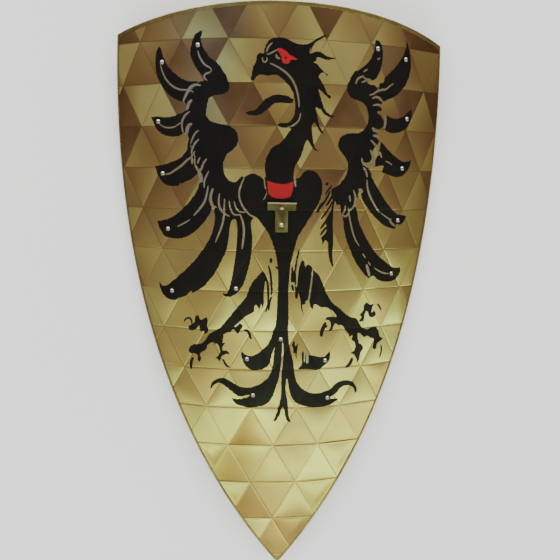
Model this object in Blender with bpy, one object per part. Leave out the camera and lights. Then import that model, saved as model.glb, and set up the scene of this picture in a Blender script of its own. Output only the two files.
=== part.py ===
"""A heater shield: a bent board with a face of embossed sheet brass, a folded brass edging and domed nails.

Every piece is laid out flat first, in three distances: across the face from its centre line, along it from
its widest line towards the top, and out from the level of the creases in the face. The flat pieces are then
folded round the long axis in narrow strips, all at the same fold lines, so that they lie on each other as
real ones do. Last, the shield lies down on its rim with the face up, and leans to where it balances.
"""

import math

import bmesh
import bpy
from mathutils import Vector

# Outline of the face, measured over the edging and along the bend
FACE_WIDTH = 0.385
SIDE_RADIUS = 0.8278
CORNER_RISE = 0.0525
ARCH_RISE = 0.027
TIP_RADIUS = 0.004
BEND_RADIUS = 0.290

# Board and face sheet
BOARD_THICKNESS = 0.008
BOARD_BEHIND_NAILS = 0.0025
SHEET_THICKNESS = 0.0007
TRIANGLE_SIDE = 0.050
LATTICE_ACROSS = -0.008
LATTICE_ALONG = -0.217
LATTICE_TURN = math.radians(0.35)
CREASE_HALF_WIDTH = 0.0012
CREASE_DEPTH = 0.0005
PILLOW_RISE = 0.0009

# Edging, a strip folded over the rim, with wider lips along the top
EDGING_THICKNESS = 0.0008
EDGING_TOP_LIP = 0.0045
EDGING_SIDE_LIP = 0.0024
EDGING_ROUND = 0.0013
EDGING_LIP_SLOPE = 0.0003

# Bracket: a T of strip whose top edge is folded forward
BRACKET_WIDTH = 0.0302
BRACKET_BAR_HEIGHT = 0.0085
BRACKET_STEM_WIDTH = 0.0134
BRACKET_STEM_LENGTH = 0.0228
BRACKET_THICKNESS = 0.0014
BRACKET_LEDGE = 0.0060
BRACKET_FOLD_RADIUS = 0.0022
BRACKET_NAIL_DROP = 0.0060
BRACKET_NAIL_RISE = 0.0073

# Nails
NAIL_HEAD_RADIUS = 0.0027
NAIL_HEAD_HEIGHT = 0.0016
NAIL_SHANK_RADIUS = 0.0008
NAIL_POINT_LENGTH = 0.0010

# Places on the face: across from its centre line in half widths, and up from the tip in face lengths
BRACKET_TOP_PLACE = (-0.014, 0.669)
FEATHER_NAILS = {
    "left_wing": (
        (-0.478, 0.928),
        (-0.689, 0.902),
        (-0.715, 0.803),
        (-0.690, 0.714),
        (-0.658, 0.617),
        (-0.635, 0.506),
        (-0.259, 0.516),
    ),
    "right_wing": (
        (0.513, 0.933),
        (0.707, 0.921),
        (0.736, 0.819),
        (0.717, 0.731),
        (0.702, 0.637),
        (0.672, 0.539),
    ),
    "tail": (
        (-0.004, 0.426),
        (-0.193, 0.389),
        (0.256, 0.385),
        (-0.156, 0.322),
        (0.277, 0.314),
    ),
}

# Spaces between pieces
GAP = 0.0003
HOLE_CLEARANCE = 0.0003

# Weights that settle how the shield lies, in kilograms a cubic metre
WOOD_DENSITY = 650.0
BRASS_DENSITY = 8500.0

# Fineness of the round stretches
STRIPS_A_SIDE = 7
SIDE_STEPS = 16
TIP_STEPS = 3
ARCH_STEPS = 12
ROUND_STEPS = 2
NAIL_SIDES = 8
NAIL_DOME_STEPS = 3
HOLE_SIDES = 6
SMOOTH_ANGLE = math.radians(40)
MERGE_DISTANCE = 0.00001

# Levels and places that follow from the sizes above
HALF_WIDTH = FACE_WIDTH / 2
STRIP_WIDTH = FACE_WIDTH / (2 * STRIPS_A_SIDE + 1)
STRIP_ANGLE = 2 * math.atan(STRIP_WIDTH / 2 / BEND_RADIUS)
RELIEF_TOP = CREASE_DEPTH + PILLOW_RISE
TRIANGLE_HEIGHT = TRIANGLE_SIDE * math.sqrt(3) / 2
TRIANGLE_INRADIUS = TRIANGLE_HEIGHT / 3
BOARD_FRONT = -SHEET_THICKNESS - GAP
BOARD_BACK = BOARD_FRONT - BOARD_THICKNESS
RIM_INSET = EDGING_THICKNESS + GAP
BRACKET_BACK = RELIEF_TOP + GAP
BRACKET_FRONT = BRACKET_BACK + BRACKET_THICKNESS
HOLE_RADIUS = NAIL_SHANK_RADIUS + HOLE_CLEARANCE
PILOT_BOTTOM = BOARD_BACK + BOARD_BEHIND_NAILS
NAIL_SHANK_LENGTH = GAP - HOLE_CLEARANCE - PILOT_BOTTOM

# Centres of the arcs that draw the outline
SIDE_CENTRE = Vector((HALF_WIDTH - SIDE_RADIUS, 0))
TIP_CENTRE = Vector((0, -math.sqrt((SIDE_RADIUS - TIP_RADIUS) ** 2 - SIDE_CENTRE.x**2)))
TIP_DEPTH = TIP_RADIUS - TIP_CENTRE.y
FACE_LENGTH = TIP_DEPTH + CORNER_RISE + ARCH_RISE
CORNER_ACROSS = SIDE_CENTRE.x + math.sqrt(SIDE_RADIUS**2 - CORNER_RISE**2)
ARCH_RADIUS = (CORNER_ACROSS**2 + ARCH_RISE**2) / (2 * ARCH_RISE)
ARCH_CENTRE = Vector((0, CORNER_RISE + ARCH_RISE - ARCH_RADIUS))


def on_circle(centre, radius, angle):
    return centre + radius * Vector((math.cos(angle), math.sin(angle)))


def angle_from(centre, point):
    return math.atan2(point.y - centre.y, point.x - centre.x)


def spread(first, last, steps):
    """Values from first to last in equal steps, both ends included."""
    return [first + (last - first) * step / steps for step in range(steps + 1)]


def corner(inset):
    """The top right corner of the outline drawn in by inset, where its side arc meets its top arch."""
    side_radius = SIDE_RADIUS - inset
    arch_radius = ARCH_RADIUS - inset
    between = ARCH_CENTRE - SIDE_CENTRE
    length = between.length
    forward = (side_radius**2 - arch_radius**2 + length**2) / (2 * length)
    aside = math.sqrt(side_radius**2 - forward**2)
    along = between / length
    return SIDE_CENTRE + forward * along + aside * Vector((-along.y, along.x))


def tip_points(inset):
    """The right half of the rounded tip, from the centre line up to just short of where the side starts."""
    angles = spread(-math.pi / 2, angle_from(SIDE_CENTRE, TIP_CENTRE), TIP_STEPS)
    return [on_circle(TIP_CENTRE, TIP_RADIUS - inset, a) for a in angles[:-1]]


def side_points(inset, trim=0.0):
    """The right side from the tip up to the corner, or to trim short of it."""
    radius = SIDE_RADIUS - inset
    start = angle_from(SIDE_CENTRE, TIP_CENTRE)
    end = angle_from(SIDE_CENTRE, corner(inset)) - trim / radius
    return [on_circle(SIDE_CENTRE, radius, a) for a in spread(start, end, SIDE_STEPS)]


def arch_points(inset, trim=0.0):
    """The top from the right corner to the left one, or to trim short of both."""
    radius = ARCH_RADIUS - inset
    start = angle_from(ARCH_CENTRE, corner(inset)) + trim / radius
    return [on_circle(ARCH_CENTRE, radius, a) for a in spread(start, math.pi - start, ARCH_STEPS)]


def outline(inset):
    """The whole outline drawn in by inset, anticlockwise from the tip."""
    right = tip_points(inset) + side_points(inset)
    left = [Vector((-point.x, point.y)) for point in reversed(right[1:])]
    return right[:-1] + arch_points(inset) + left[1:]


def lattice_point(column, row):
    """A corner of the embossed triangles. Odd rows stand half a side along."""
    x = (column + row % 2 / 2) * TRIANGLE_SIDE
    y = row * TRIANGLE_HEIGHT
    cos = math.cos(LATTICE_TURN)
    sin = math.sin(LATTICE_TURN)
    return (LATTICE_ACROSS + x * cos - y * sin, LATTICE_ALONG + x * sin + y * cos)


def crease_distance(across, along):
    """How far a place is from the nearest crease of the three families of parallel creases."""
    nearest = TRIANGLE_HEIGHT
    for sixth in range(3):
        angle = LATTICE_TURN + sixth * math.pi / 3
        offset = (along - LATTICE_ALONG) * math.cos(angle) - (across - LATTICE_ACROSS) * math.sin(angle)
        nearest = min(nearest, abs(offset - TRIANGLE_HEIGHT * round(offset / TRIANGLE_HEIGHT)))
    return nearest


def relief(across, along):
    """The height of the embossing: a narrow crease round each triangle, and a low pillow inside it."""
    distance = crease_distance(across, along)
    if distance < CREASE_HALF_WIDTH:
        return CREASE_DEPTH * distance / CREASE_HALF_WIDTH
    share = (distance - CREASE_HALF_WIDTH) / (TRIANGLE_INRADIUS - CREASE_HALF_WIDTH)
    return CREASE_DEPTH + PILLOW_RISE * share


def seat_level(across, along):
    """The level of the highest embossing under a nail's head, and a gap more."""
    centre = Vector((across, along))
    levels = [relief(across, along)]
    angles = spread(0, 2 * math.pi, NAIL_SIDES)
    for radius in (NAIL_HEAD_RADIUS / 2, NAIL_HEAD_RADIUS):
        levels += [relief(*on_circle(centre, radius, angle)) for angle in angles]
    return max(levels) + GAP


def strip_of(across):
    """The number of the flat strip that a place falls in, 0 on the centre line."""
    return round(across / STRIP_WIDTH)


def folded(across, along, out):
    """Where a flat place goes when the shield is folded round its long axis."""
    strip = strip_of(across)
    angle = strip * STRIP_ANGLE
    radius = BEND_RADIUS + out
    aside = (across - strip * STRIP_WIDTH) * radius / BEND_RADIUS
    x = radius * math.sin(angle) + aside * math.cos(angle)
    z = radius * math.cos(angle) - aside * math.sin(angle) - BEND_RADIUS
    return Vector((x, along, z))


def fold(bm):
    """Cuts a flat piece at the fold lines and folds it."""
    for line in range(-STRIPS_A_SIDE, STRIPS_A_SIDE):
        bmesh.ops.bisect_plane(
            bm,
            geom=bm.verts[:] + bm.edges[:] + bm.faces[:],
            dist=MERGE_DISTANCE,
            plane_co=((line + 0.5) * STRIP_WIDTH, 0, 0),
            plane_no=(1, 0, 0),
            use_snap_center=True,
        )
    for vert in bm.verts:
        vert.co = folded(*vert.co)


def material(name, colour, roughness, metallic):
    finish = bpy.data.materials.new(name)
    finish.use_nodes = True
    shader = finish.node_tree.nodes["Principled BSDF"]
    shader.inputs["Base Color"].default_value = (*colour, 1)
    shader.inputs["Roughness"].default_value = roughness
    shader.inputs["Metallic"].default_value = metallic
    return finish


def piece(name, bm, finish=None):
    """Turns a bmesh into a named object."""
    bmesh.ops.recalc_face_normals(bm, faces=bm.faces[:])
    mesh = bpy.data.meshes.new(name)
    bm.to_mesh(mesh)
    bm.free()
    if finish:
        mesh.materials.append(finish)
    obj = bpy.data.objects.new(name, mesh)
    bpy.context.scene.collection.objects.link(obj)
    return obj


def combine(obj, other, operation):
    """Applies a Boolean of obj with other, and takes other away."""
    modifier = obj.modifiers.new(operation.lower(), "BOOLEAN")
    modifier.operation = operation
    modifier.solver = "EXACT"
    modifier.object = other
    result = bpy.data.meshes.new_from_object(obj.evaluated_get(bpy.context.evaluated_depsgraph_get()))
    obj.modifiers.remove(modifier)
    obj.data = result
    bpy.data.objects.remove(other)


def draw_out(bm, places, move):
    """Makes a face at some places, and draws it out into a closed solid."""
    face = bm.faces.new([bm.verts.new(place) for place in places])
    drawn = bmesh.ops.extrude_face_region(bm, geom=[face])
    verts = [item for item in drawn["geom"] if isinstance(item, bmesh.types.BMVert)]
    bmesh.ops.translate(bm, vec=move, verts=verts)


def slab(points, low, high):
    """A flat plate between two levels."""
    bm = bmesh.new()
    draw_out(bm, [(point.x, point.y, low) for point in points], (0, 0, high - low))
    return bm


def drills(places, low, high):
    """Upright round cutters for the nail holes, in one object."""
    bm = bmesh.new()
    for place in places:
        ring = [on_circle(Vector(place), HOLE_RADIUS, a) for a in spread(0, 2 * math.pi, HOLE_SIDES)[:-1]]
        draw_out(bm, [(point.x, point.y, low) for point in ring], (0, 0, high - low))
    return piece("drills", bm)


def fold_object(obj):
    bm = bmesh.new()
    bm.from_mesh(obj.data)
    fold(bm)
    bm.to_mesh(obj.data)
    bm.free()


def make_board(places, finish):
    """The bent board. Its nail holes stop short of its back."""
    board = piece("board", slab(outline(RIM_INSET), BOARD_BACK, BOARD_FRONT), finish)
    combine(board, drills(places, PILOT_BOTTOM, RELIEF_TOP), "DIFFERENCE")
    fold_object(board)
    return board


def embossed_plate():
    """A plate of whole triangles, larger than the face on every side, with a flat back."""
    bm = bmesh.new()
    columns = math.ceil(HALF_WIDTH / TRIANGLE_SIDE) + 1
    lowest = math.floor((-TIP_DEPTH - LATTICE_ALONG) / TRIANGLE_HEIGHT) - 1
    highest = math.ceil((CORNER_RISE + ARCH_RISE - LATTICE_ALONG) / TRIANGLE_HEIGHT) + 1
    rows = [
        [bm.verts.new((*lattice_point(column, row), 0)) for column in range(-columns, columns + 1)]
        for row in range(lowest, highest + 1)
    ]
    for row, (below, above) in enumerate(zip(rows, rows[1:]), lowest):
        leading, trailing = (above, below) if row % 2 else (below, above)
        for column in range(2 * columns):
            bm.faces.new((leading[column], leading[column + 1], trailing[column]))
            bm.faces.new((trailing[column], leading[column + 1], trailing[column + 1]))
    bmesh.ops.recalc_face_normals(bm, faces=bm.faces[:])
    bmesh.ops.inset_individual(bm, faces=bm.faces[:], thickness=CREASE_HALF_WIDTH, use_even_offset=True)
    bmesh.ops.poke(bm, faces=[face for face in bm.faces if len(face.verts) == 3])
    for vert in bm.verts:
        vert.co.z = relief(vert.co.x, vert.co.y)
    walls = bmesh.ops.extrude_edge_only(bm, edges=[edge for edge in bm.edges if edge.is_boundary])
    for item in walls["geom"]:
        if isinstance(item, bmesh.types.BMVert):
            item.co.z = -SHEET_THICKNESS
    bmesh.ops.edgeloop_fill(bm, edges=[edge for edge in bm.edges if edge.is_boundary])
    return bm


def make_face_sheet(places, finish):
    """The embossed sheet, cut to the outline, with a hole for each nail."""
    sheet = piece("face_sheet", embossed_plate(), finish)
    below = -2 * SHEET_THICKNESS
    above = 2 * RELIEF_TOP
    combine(sheet, piece("outline", slab(outline(RIM_INSET), below, above)), "INTERSECT")
    combine(sheet, drills(places, below, above), "DIFFERENCE")
    fold_object(sheet)
    return sheet


def edging_section(lip):
    """The folded strip cut across, as pairs of inset from the rim and level. lip is the inset of both its lips."""
    front = RELIEF_TOP + GAP
    back = BOARD_BACK - GAP
    front_outer = front + EDGING_THICKNESS
    back_outer = back - EDGING_THICKNESS
    front_centre = Vector((EDGING_ROUND, front_outer - EDGING_ROUND))
    back_centre = Vector((EDGING_ROUND, back_outer + EDGING_ROUND))
    quarter = spread(math.pi / 2, math.pi, ROUND_STEPS)
    front_round = [on_circle(front_centre, EDGING_ROUND, a) for a in quarter]
    back_round = [on_circle(back_centre, EDGING_ROUND, a + math.pi / 2) for a in quarter]
    inside = [
        (lip, back_outer),
        (lip, back),
        (EDGING_THICKNESS, back),
        (EDGING_THICKNESS, front),
        (lip, front),
        (lip, front_outer - EDGING_LIP_SLOPE),
    ]
    return [*front_round, *back_round, *(Vector(point) for point in inside)]


def sweep(path, lip):
    """The edging's section carried along a path, which is a function of the inset."""
    bm = bmesh.new()
    rings = [
        [bm.verts.new((point.x, point.y, level)) for point in path(inset)]
        for inset, level in edging_section(lip)
    ]
    for ring, following in zip(rings, rings[1:] + rings[:1]):
        for start in range(len(ring) - 1):
            bm.faces.new((ring[start], ring[start + 1], following[start + 1], following[start]))
    bm.faces.new([ring[0] for ring in rings])
    bm.faces.new([ring[-1] for ring in reversed(rings)])
    return bm


def side_edging_path(inset, hand):
    """From the joint at the tip to the mitre at a top corner. hand is 1 on the right and -1 on the left."""
    points = tip_points(inset) + side_points(inset, trim=GAP)
    points[0].x = GAP / 2
    return [Vector((hand * point.x, point.y)) for point in points]


def make_edging(name, path, lip, finish):
    bm = sweep(path, lip)
    fold(bm)
    strip = piece(name, bm, finish)
    strip.data.shade_smooth()
    strip.data.set_sharp_from_angle(angle=SMOOTH_ANGLE)
    return strip


def face_place(shares):
    """A place in half widths across and face lengths up from the tip, as distances across and along."""
    across, up = shares
    return across * HALF_WIDTH, up * FACE_LENGTH - TIP_DEPTH


def bracket_profile(top):
    """The bar cut across: a plate with its top edge folded forward, as pairs of along and out."""
    centre = Vector((top - BRACKET_FOLD_RADIUS, BRACKET_BACK + BRACKET_FOLD_RADIUS))
    angles = spread(-math.pi / 2, 0, 2 * ROUND_STEPS)
    outer = [on_circle(centre, BRACKET_FOLD_RADIUS, a) for a in angles]
    inner = [on_circle(centre, BRACKET_FOLD_RADIUS - BRACKET_THICKNESS, a) for a in reversed(angles)]
    foot = top - BRACKET_BAR_HEIGHT
    ledge_end = BRACKET_BACK + BRACKET_LEDGE
    ledge_tip = [(top, ledge_end), (top - BRACKET_THICKNESS, ledge_end)]
    return [(foot, BRACKET_BACK), *outer, *ledge_tip, *inner, (foot, BRACKET_FRONT)]


def make_bracket(finish):
    """The bracket lies over the embossing: a bar with the folded edge, and a stem below its middle."""
    bm = bmesh.new()
    middle, top = face_place(BRACKET_TOP_PLACE)
    left = middle - BRACKET_WIDTH / 2
    draw_out(bm, [(left, along, out) for along, out in bracket_profile(top)], (BRACKET_WIDTH, 0, 0))
    bracket = piece("bracket_plate", bm, finish)
    stem_left = middle - BRACKET_STEM_WIDTH / 2
    stem_right = middle + BRACKET_STEM_WIDTH / 2
    stem_top = top - BRACKET_BAR_HEIGHT / 2
    foot = top - BRACKET_BAR_HEIGHT - BRACKET_STEM_LENGTH
    stem = [(stem_left, foot), (stem_right, foot), (stem_right, stem_top), (stem_left, stem_top)]
    combine(bracket, piece("stem", slab([Vector(p) for p in stem], BRACKET_BACK, BRACKET_FRONT)), "UNION")
    combine(bracket, drills(bracket_nail_places().values(), 0, BRACKET_BACK + BRACKET_LEDGE), "DIFFERENCE")
    return bracket


def feather_nail_places():
    """Where each silver nail goes, across and along the flat face."""
    places = {}
    for group, all_shares in FEATHER_NAILS.items():
        for number, shares in enumerate(all_shares, 1):
            places[f"nail_{group}_{number}"] = face_place(shares)
    return places


def bracket_nail_places():
    """One nail below the fold of the bracket, and one above the foot of its stem."""
    middle, top = face_place(BRACKET_TOP_PLACE)
    foot = top - BRACKET_BAR_HEIGHT - BRACKET_STEM_LENGTH
    return {
        "bracket_nail_upper": (middle, top - BRACKET_NAIL_DROP),
        "bracket_nail_lower": (middle, foot + BRACKET_NAIL_RISE),
    }


def nail_mesh():
    """A nail turned about its axis, with the underside of its domed head at the origin."""
    bm = bmesh.new()
    dome_radius = (NAIL_HEAD_RADIUS**2 + NAIL_HEAD_HEIGHT**2) / (2 * NAIL_HEAD_HEIGHT)
    dome_centre = NAIL_HEAD_HEIGHT - dome_radius
    dome_half_angle = math.asin(NAIL_HEAD_RADIUS / dome_radius)
    profile = [
        (dome_radius * math.sin(a), dome_centre + dome_radius * math.cos(a))
        for a in spread(0, dome_half_angle, NAIL_DOME_STEPS)
    ]
    profile += [
        (NAIL_SHANK_RADIUS, 0),
        (NAIL_SHANK_RADIUS, NAIL_POINT_LENGTH - NAIL_SHANK_LENGTH),
        (0, -NAIL_SHANK_LENGTH),
    ]
    verts = [bm.verts.new((radius, 0, level)) for radius, level in profile]
    edges = [bm.edges.new(pair) for pair in zip(verts, verts[1:])]
    bmesh.ops.spin(
        bm,
        geom=verts + edges,
        axis=(0, 0, 1),
        cent=(0, 0, 0),
        angle=2 * math.pi,
        steps=NAIL_SIDES,
        use_merge=True,
    )
    bmesh.ops.remove_doubles(bm, verts=bm.verts[:], dist=MERGE_DISTANCE)
    bmesh.ops.recalc_face_normals(bm, faces=bm.faces[:])
    mesh = bpy.data.meshes.new("nail")
    bm.to_mesh(mesh)
    bm.free()
    mesh.shade_smooth()
    mesh.set_sharp_from_angle(angle=SMOOTH_ANGLE)
    return mesh


def drive_nail(name, mesh, across, along, level):
    """Stands a nail square to the strip of the face that it goes through."""
    nail = bpy.data.objects.new(name, mesh)
    bpy.context.scene.collection.objects.link(nail)
    nail.location = folded(across, along, level)
    nail.rotation_euler.y = strip_of(across) * STRIP_ANGLE
    return nail


def make_nails(silver, brass):
    nails = []
    mesh = nail_mesh()
    mesh.materials.append(silver)
    for name, (across, along) in feather_nail_places().items():
        nails.append(drive_nail(name, mesh, across, along, seat_level(across, along)))
    mesh = nail_mesh()
    mesh.materials.append(brass)
    for name, (across, along) in bracket_nail_places().items():
        nails.append(drive_nail(name, mesh, across, along, BRACKET_FRONT + GAP))
    return nails


def volume_and_centre(mesh):
    """The volume and centre of a closed mesh, from the tetrahedra between its triangles and the origin."""
    volume = 0.0
    moment = Vector()
    mesh.calc_loop_triangles()
    for triangle in mesh.loop_triangles:
        a, b, c = (mesh.vertices[index].co for index in triangle.vertices)
        part = a.dot(b.cross(c)) / 6
        volume += part
        moment += part * (a + b + c) / 4
    return volume, moment / volume


def balance_point(weighed):
    """The centre of mass of pieces given as pairs of object and density."""
    mass = 0.0
    moment = Vector()
    for obj, density in weighed:
        volume, centre = volume_and_centre(obj.data)
        mass += density * volume
        moment += density * volume * centre
    return moment / mass


def lower_hull(points):
    """The underside of the hull of points given as pairs of along and height, from the tip end on."""
    hull = []
    for along, height in sorted(points):
        while len(hull) > 1:
            (before_along, before_height), (last_along, last_height) = hull[-2:]
            rise = (last_height - before_height) * (along - before_along)
            if rise < (height - before_height) * (last_along - before_along):
                break
            hull.pop()
        hull.append((along, height))
    return hull


def resting_lean(points, balance):
    """The slope of the stretch of the underside that the balance point stands over."""
    hull = lower_hull(points)
    for (start_along, start_height), (end_along, end_height) in zip(hull, hull[1:]):
        step = Vector((end_along - start_along, end_height - start_height))
        foot = Vector((balance.y - start_along, balance.z - start_height)).dot(step) / step.length_squared
        if foot <= 1:
            return math.atan2(step.y, step.x)
    return 0.0


def lay_down(pieces, weighed):
    """Parents every piece to an empty that lays the shield on its rim, centred over the origin."""
    points = {(vert.co.y, vert.co.z) for obj, _ in weighed for vert in obj.data.vertices}
    lean = resting_lean(points, balance_point(weighed))
    alongs = [along * math.cos(lean) + height * math.sin(lean) for along, height in points]
    heights = [height * math.cos(lean) - along * math.sin(lean) for along, height in points]
    holder = bpy.data.objects.new("lying_shield", None)
    bpy.context.scene.collection.objects.link(holder)
    holder.rotation_euler.x = -lean
    holder.location = (0, -(min(alongs) + max(alongs)) / 2, -min(heights))
    for obj in pieces:
        obj.parent = holder


def main():
    for obj in list(bpy.data.objects):
        bpy.data.objects.remove(obj)
    wood = material("board_wood", (0.36, 0.22, 0.11), 0.6, 0.0)
    face_brass = material("face_brass", (0.62, 0.50, 0.24), 0.25, 1.0)
    edging_brass = material("edging_brass", (0.50, 0.42, 0.20), 0.3, 1.0)
    bracket_brass = material("bracket_brass", (0.30, 0.27, 0.12), 0.35, 1.0)
    nail_brass = material("nail_brass", (0.55, 0.47, 0.25), 0.25, 1.0)
    nail_silver = material("nail_silver", (0.75, 0.75, 0.74), 0.2, 1.0)

    feather_places = list(feather_nail_places().values())
    places = feather_places + list(bracket_nail_places().values())
    board = make_board(places, wood)
    sheet = make_face_sheet(places, face_brass)
    edging = [
        make_edging("edging_top", lambda inset: arch_points(inset, trim=GAP), EDGING_TOP_LIP, edging_brass),
        make_edging("edging_right", lambda inset: side_edging_path(inset, 1), EDGING_SIDE_LIP, edging_brass),
        make_edging("edging_left", lambda inset: side_edging_path(inset, -1), EDGING_SIDE_LIP, edging_brass),
    ]
    bracket = make_bracket(bracket_brass)
    nails = make_nails(nail_silver, nail_brass)
    weighed = [(board, WOOD_DENSITY)] + [(brass, BRASS_DENSITY) for brass in (sheet, *edging)]
    lay_down([board, sheet, *edging, bracket, *nails], weighed)


main()
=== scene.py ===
"""The looks of a bent heraldic shield: an embossed brass face painted with an eagle, on a wooden board."""
import math

import bmesh
import bpy
import numpy as np
from mathutils import Matrix, Vector
from mathutils.geometry import delaunay_2d_cdt


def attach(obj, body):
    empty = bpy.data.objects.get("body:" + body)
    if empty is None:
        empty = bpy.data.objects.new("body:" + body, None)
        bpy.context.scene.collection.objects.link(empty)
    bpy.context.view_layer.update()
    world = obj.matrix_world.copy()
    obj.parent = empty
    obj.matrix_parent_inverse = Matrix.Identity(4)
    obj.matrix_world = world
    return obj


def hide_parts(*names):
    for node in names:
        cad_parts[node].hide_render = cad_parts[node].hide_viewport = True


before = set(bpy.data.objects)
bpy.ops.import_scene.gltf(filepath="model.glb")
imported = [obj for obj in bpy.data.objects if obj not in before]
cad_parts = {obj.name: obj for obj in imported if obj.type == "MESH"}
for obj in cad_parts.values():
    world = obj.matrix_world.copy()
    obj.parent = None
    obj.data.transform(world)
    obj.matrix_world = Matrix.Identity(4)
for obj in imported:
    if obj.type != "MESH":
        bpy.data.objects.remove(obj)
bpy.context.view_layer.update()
MM = 0.001

# Sizes, as the solids have them
FACE_WIDTH = 0.385
SIDE_RADIUS = 0.8278
CORNER_RISE = 0.0525
ARCH_RISE = 0.027
TIP_RADIUS = 0.004
BEND_RADIUS = 0.290
BOARD_FRONT = -0.0010
BOARD_BACK = -0.0090
SHEET_BACK = -0.0007
TRIANGLE_SIDE = 0.050
LATTICE_ACROSS = -0.008
LATTICE_ALONG = -0.217
LATTICE_TURN = math.radians(0.35)
CREASE_DEPTH = 0.0005
PILLOW_RISE = 0.0009
GAP = 0.0003
EDGING_THICKNESS = 0.0008
EDGING_TOP_LIP = 0.0045
EDGING_SIDE_LIP = 0.0024
EDGING_ROUND = 0.0013
EDGING_LIP_SLOPE = 0.0003
BRACKET_TOP_PLACE = (-0.014, 0.669)
BRACKET_BAR_HEIGHT = 0.0085
BRACKET_STEM_LENGTH = 0.0228
BRACKET_THICKNESS = 0.0014
BRACKET_NAIL_DROP = 0.0060
BRACKET_NAIL_RISE = 0.0073
NAIL_HEAD_RADIUS = 0.0027
NAIL_HEAD_HEIGHT = 0.0016
NAIL_SHANK_RADIUS = 0.0008
NAIL_SHANK_LENGTH = 0.0065
NAIL_POINT_LENGTH = 0.001
FEATHER_NAILS = {
    "left_wing": (
        (-0.478, 0.928),
        (-0.689, 0.902),
        (-0.715, 0.803),
        (-0.690, 0.714),
        (-0.658, 0.617),
        (-0.635, 0.506),
        (-0.259, 0.516),
    ),
    "right_wing": (
        (0.513, 0.933),
        (0.707, 0.921),
        (0.736, 0.819),
        (0.717, 0.731),
        (0.702, 0.637),
        (0.672, 0.539),
    ),
    "tail": (
        (-0.004, 0.426),
        (-0.193, 0.389),
        (0.256, 0.385),
        (-0.156, 0.322),
        (0.277, 0.314),
    ),
}

# Levels and places that follow from the sizes above
HALF_WIDTH = FACE_WIDTH / 2
TRIANGLE_HEIGHT = TRIANGLE_SIDE * math.sqrt(3) / 2
RELIEF_TOP = CREASE_DEPTH + PILLOW_RISE
RIM_INSET = EDGING_THICKNESS + GAP
BRACKET_FRONT = RELIEF_TOP + GAP + BRACKET_THICKNESS
SIDE_CENTRE = Vector((HALF_WIDTH - SIDE_RADIUS, 0))
TIP_CENTRE = Vector((0, -math.sqrt((SIDE_RADIUS - TIP_RADIUS) ** 2 - SIDE_CENTRE.x**2)))
TIP_DEPTH = TIP_RADIUS - TIP_CENTRE.y
FACE_LENGTH = TIP_DEPTH + CORNER_RISE + ARCH_RISE
CORNER_ACROSS = SIDE_CENTRE.x + math.sqrt(SIDE_RADIUS**2 - CORNER_RISE**2)
ARCH_RADIUS = (CORNER_ACROSS**2 + ARCH_RISE**2) / (2 * ARCH_RISE)
ARCH_CENTRE = Vector((0, CORNER_RISE + ARCH_RISE - ARCH_RADIUS))

# The lying shield leans, so that it rests on its sides and its top
LEAN = math.radians(6.355230195)
LYING = Matrix.Translation((0, 0.22267137, 0.07718257)) @ Matrix.Rotation(LEAN, 4, "X")

# How far the drawing's foot lies below the widest line of the face, in millimetres
DRAWING_FOOT = 527.0
CURVE_STEP = 1.5
# How thin a stroke is at its ends, as a share of its width
STROKE_END = 0.3
# How far a brush strays from the drawing, and in what waves: across and along, for each of the two ways
BRUSH_WAVER = 0.3
BRUSH_WAVES = ((3.1, 2.3), (-1.6, 2.7))

# The embossing of the sheet
LEAST_RISE = -0.00015
MOST_RISE = 0.00050
LIP_PRESS = 0.008
CREASE_SPREAD = 0.0006
CREASE_GROOVE = 0.00011
FACET_TILT = 0.07
# How pale the triangles are: the middle tone, how far each differs from it by chance and shades across itself, and
# how much paler and more alike they are at this distance towards the foot. The chance tones partly stand in for
# painted reflections of tilted triangles, the shading across each is painted shade, and the paleness towards the foot
# is painted reflection
TONE_MIDDLE = 0.45
TONE_SPREAD = 1.25
TONE_SHADE = 0.95
FOOT_REFLECTION_REACH = 0.20
FOOT_REFLECTION_RISE = 0.24
FOOT_REFLECTION_CALM = 0.72
PALEST_TONE = 0.9
SCRAPED_TONE = 1.0
BACK_TONE = 0.5
# Patina and painted shade in the level creases, in those that rise to the right and in those that fall, at the top
# and at
# the foot: how dark each family is follows how the light falls on its walls
CREASE_TARNISH_AND_SHADE = ((0.58, 0.48, 0.34), (0.40, 0.16, 0.36))
CREASE_DARKENING_REACH = 0.00055

# A triangle's number is made of its band in each family of creases. A draw is that number and a salt, mixed by shifts
# and large primes.
FACET_BANDS = 128
BAND_MARGIN = 1e-9
DRAW_MASK = 0xFFFFFFFF
DRAW_PRIME = 2654435761
DRAW_SALT = 97561
DRAW_ROUNDS = ((15, 2246822519), (13, 3266489917), (16, 1))
RISE_DRAW = 1
TONE_DRAW = 3
ASIDE_DRAW = 4
AHEAD_DRAW = 5
SHADE_DRAWS = (6, 7, 8)

# What is on each part of the sheet: nothing, paint, or paint scraped off again down to the metal
BARE = 0
BLACK = 1
RED = 2
SCRAPED = 3

# Fineness
GRID_SPACING = 0.0030
BOARD_GRID = 0.008
CREASE_REACH = FACE_LENGTH * 1.5
CREASE_LINES = (-2, -1, 0, 1, 2)
SLOPE_STEP = 0.0001
RIM_TIP_STEPS = 8
RIM_SIDE_STEPS = 200
RIM_ARCH_STEPS = 130
EDGING_TIP_STEPS = 10
EDGING_SIDE_STEPS = 150
EDGING_ARCH_STEPS = 110
EDGING_ROUND_STEPS = 6
NAIL_SIDES = 28
NAIL_DOME_STEPS = 8
SEAT_STEPS = 16
SEAT_RINGS = (0.5, 1.0)
SHARP_ANGLE = math.radians(40)
# What is too little to count: a slope, a flat area in square metres, and a distance in millimetres
LEAST_SLOPE = 1e-12
LEAST_AREA = 1e-13
CUT_TOLERANCE = 1e-4

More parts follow.
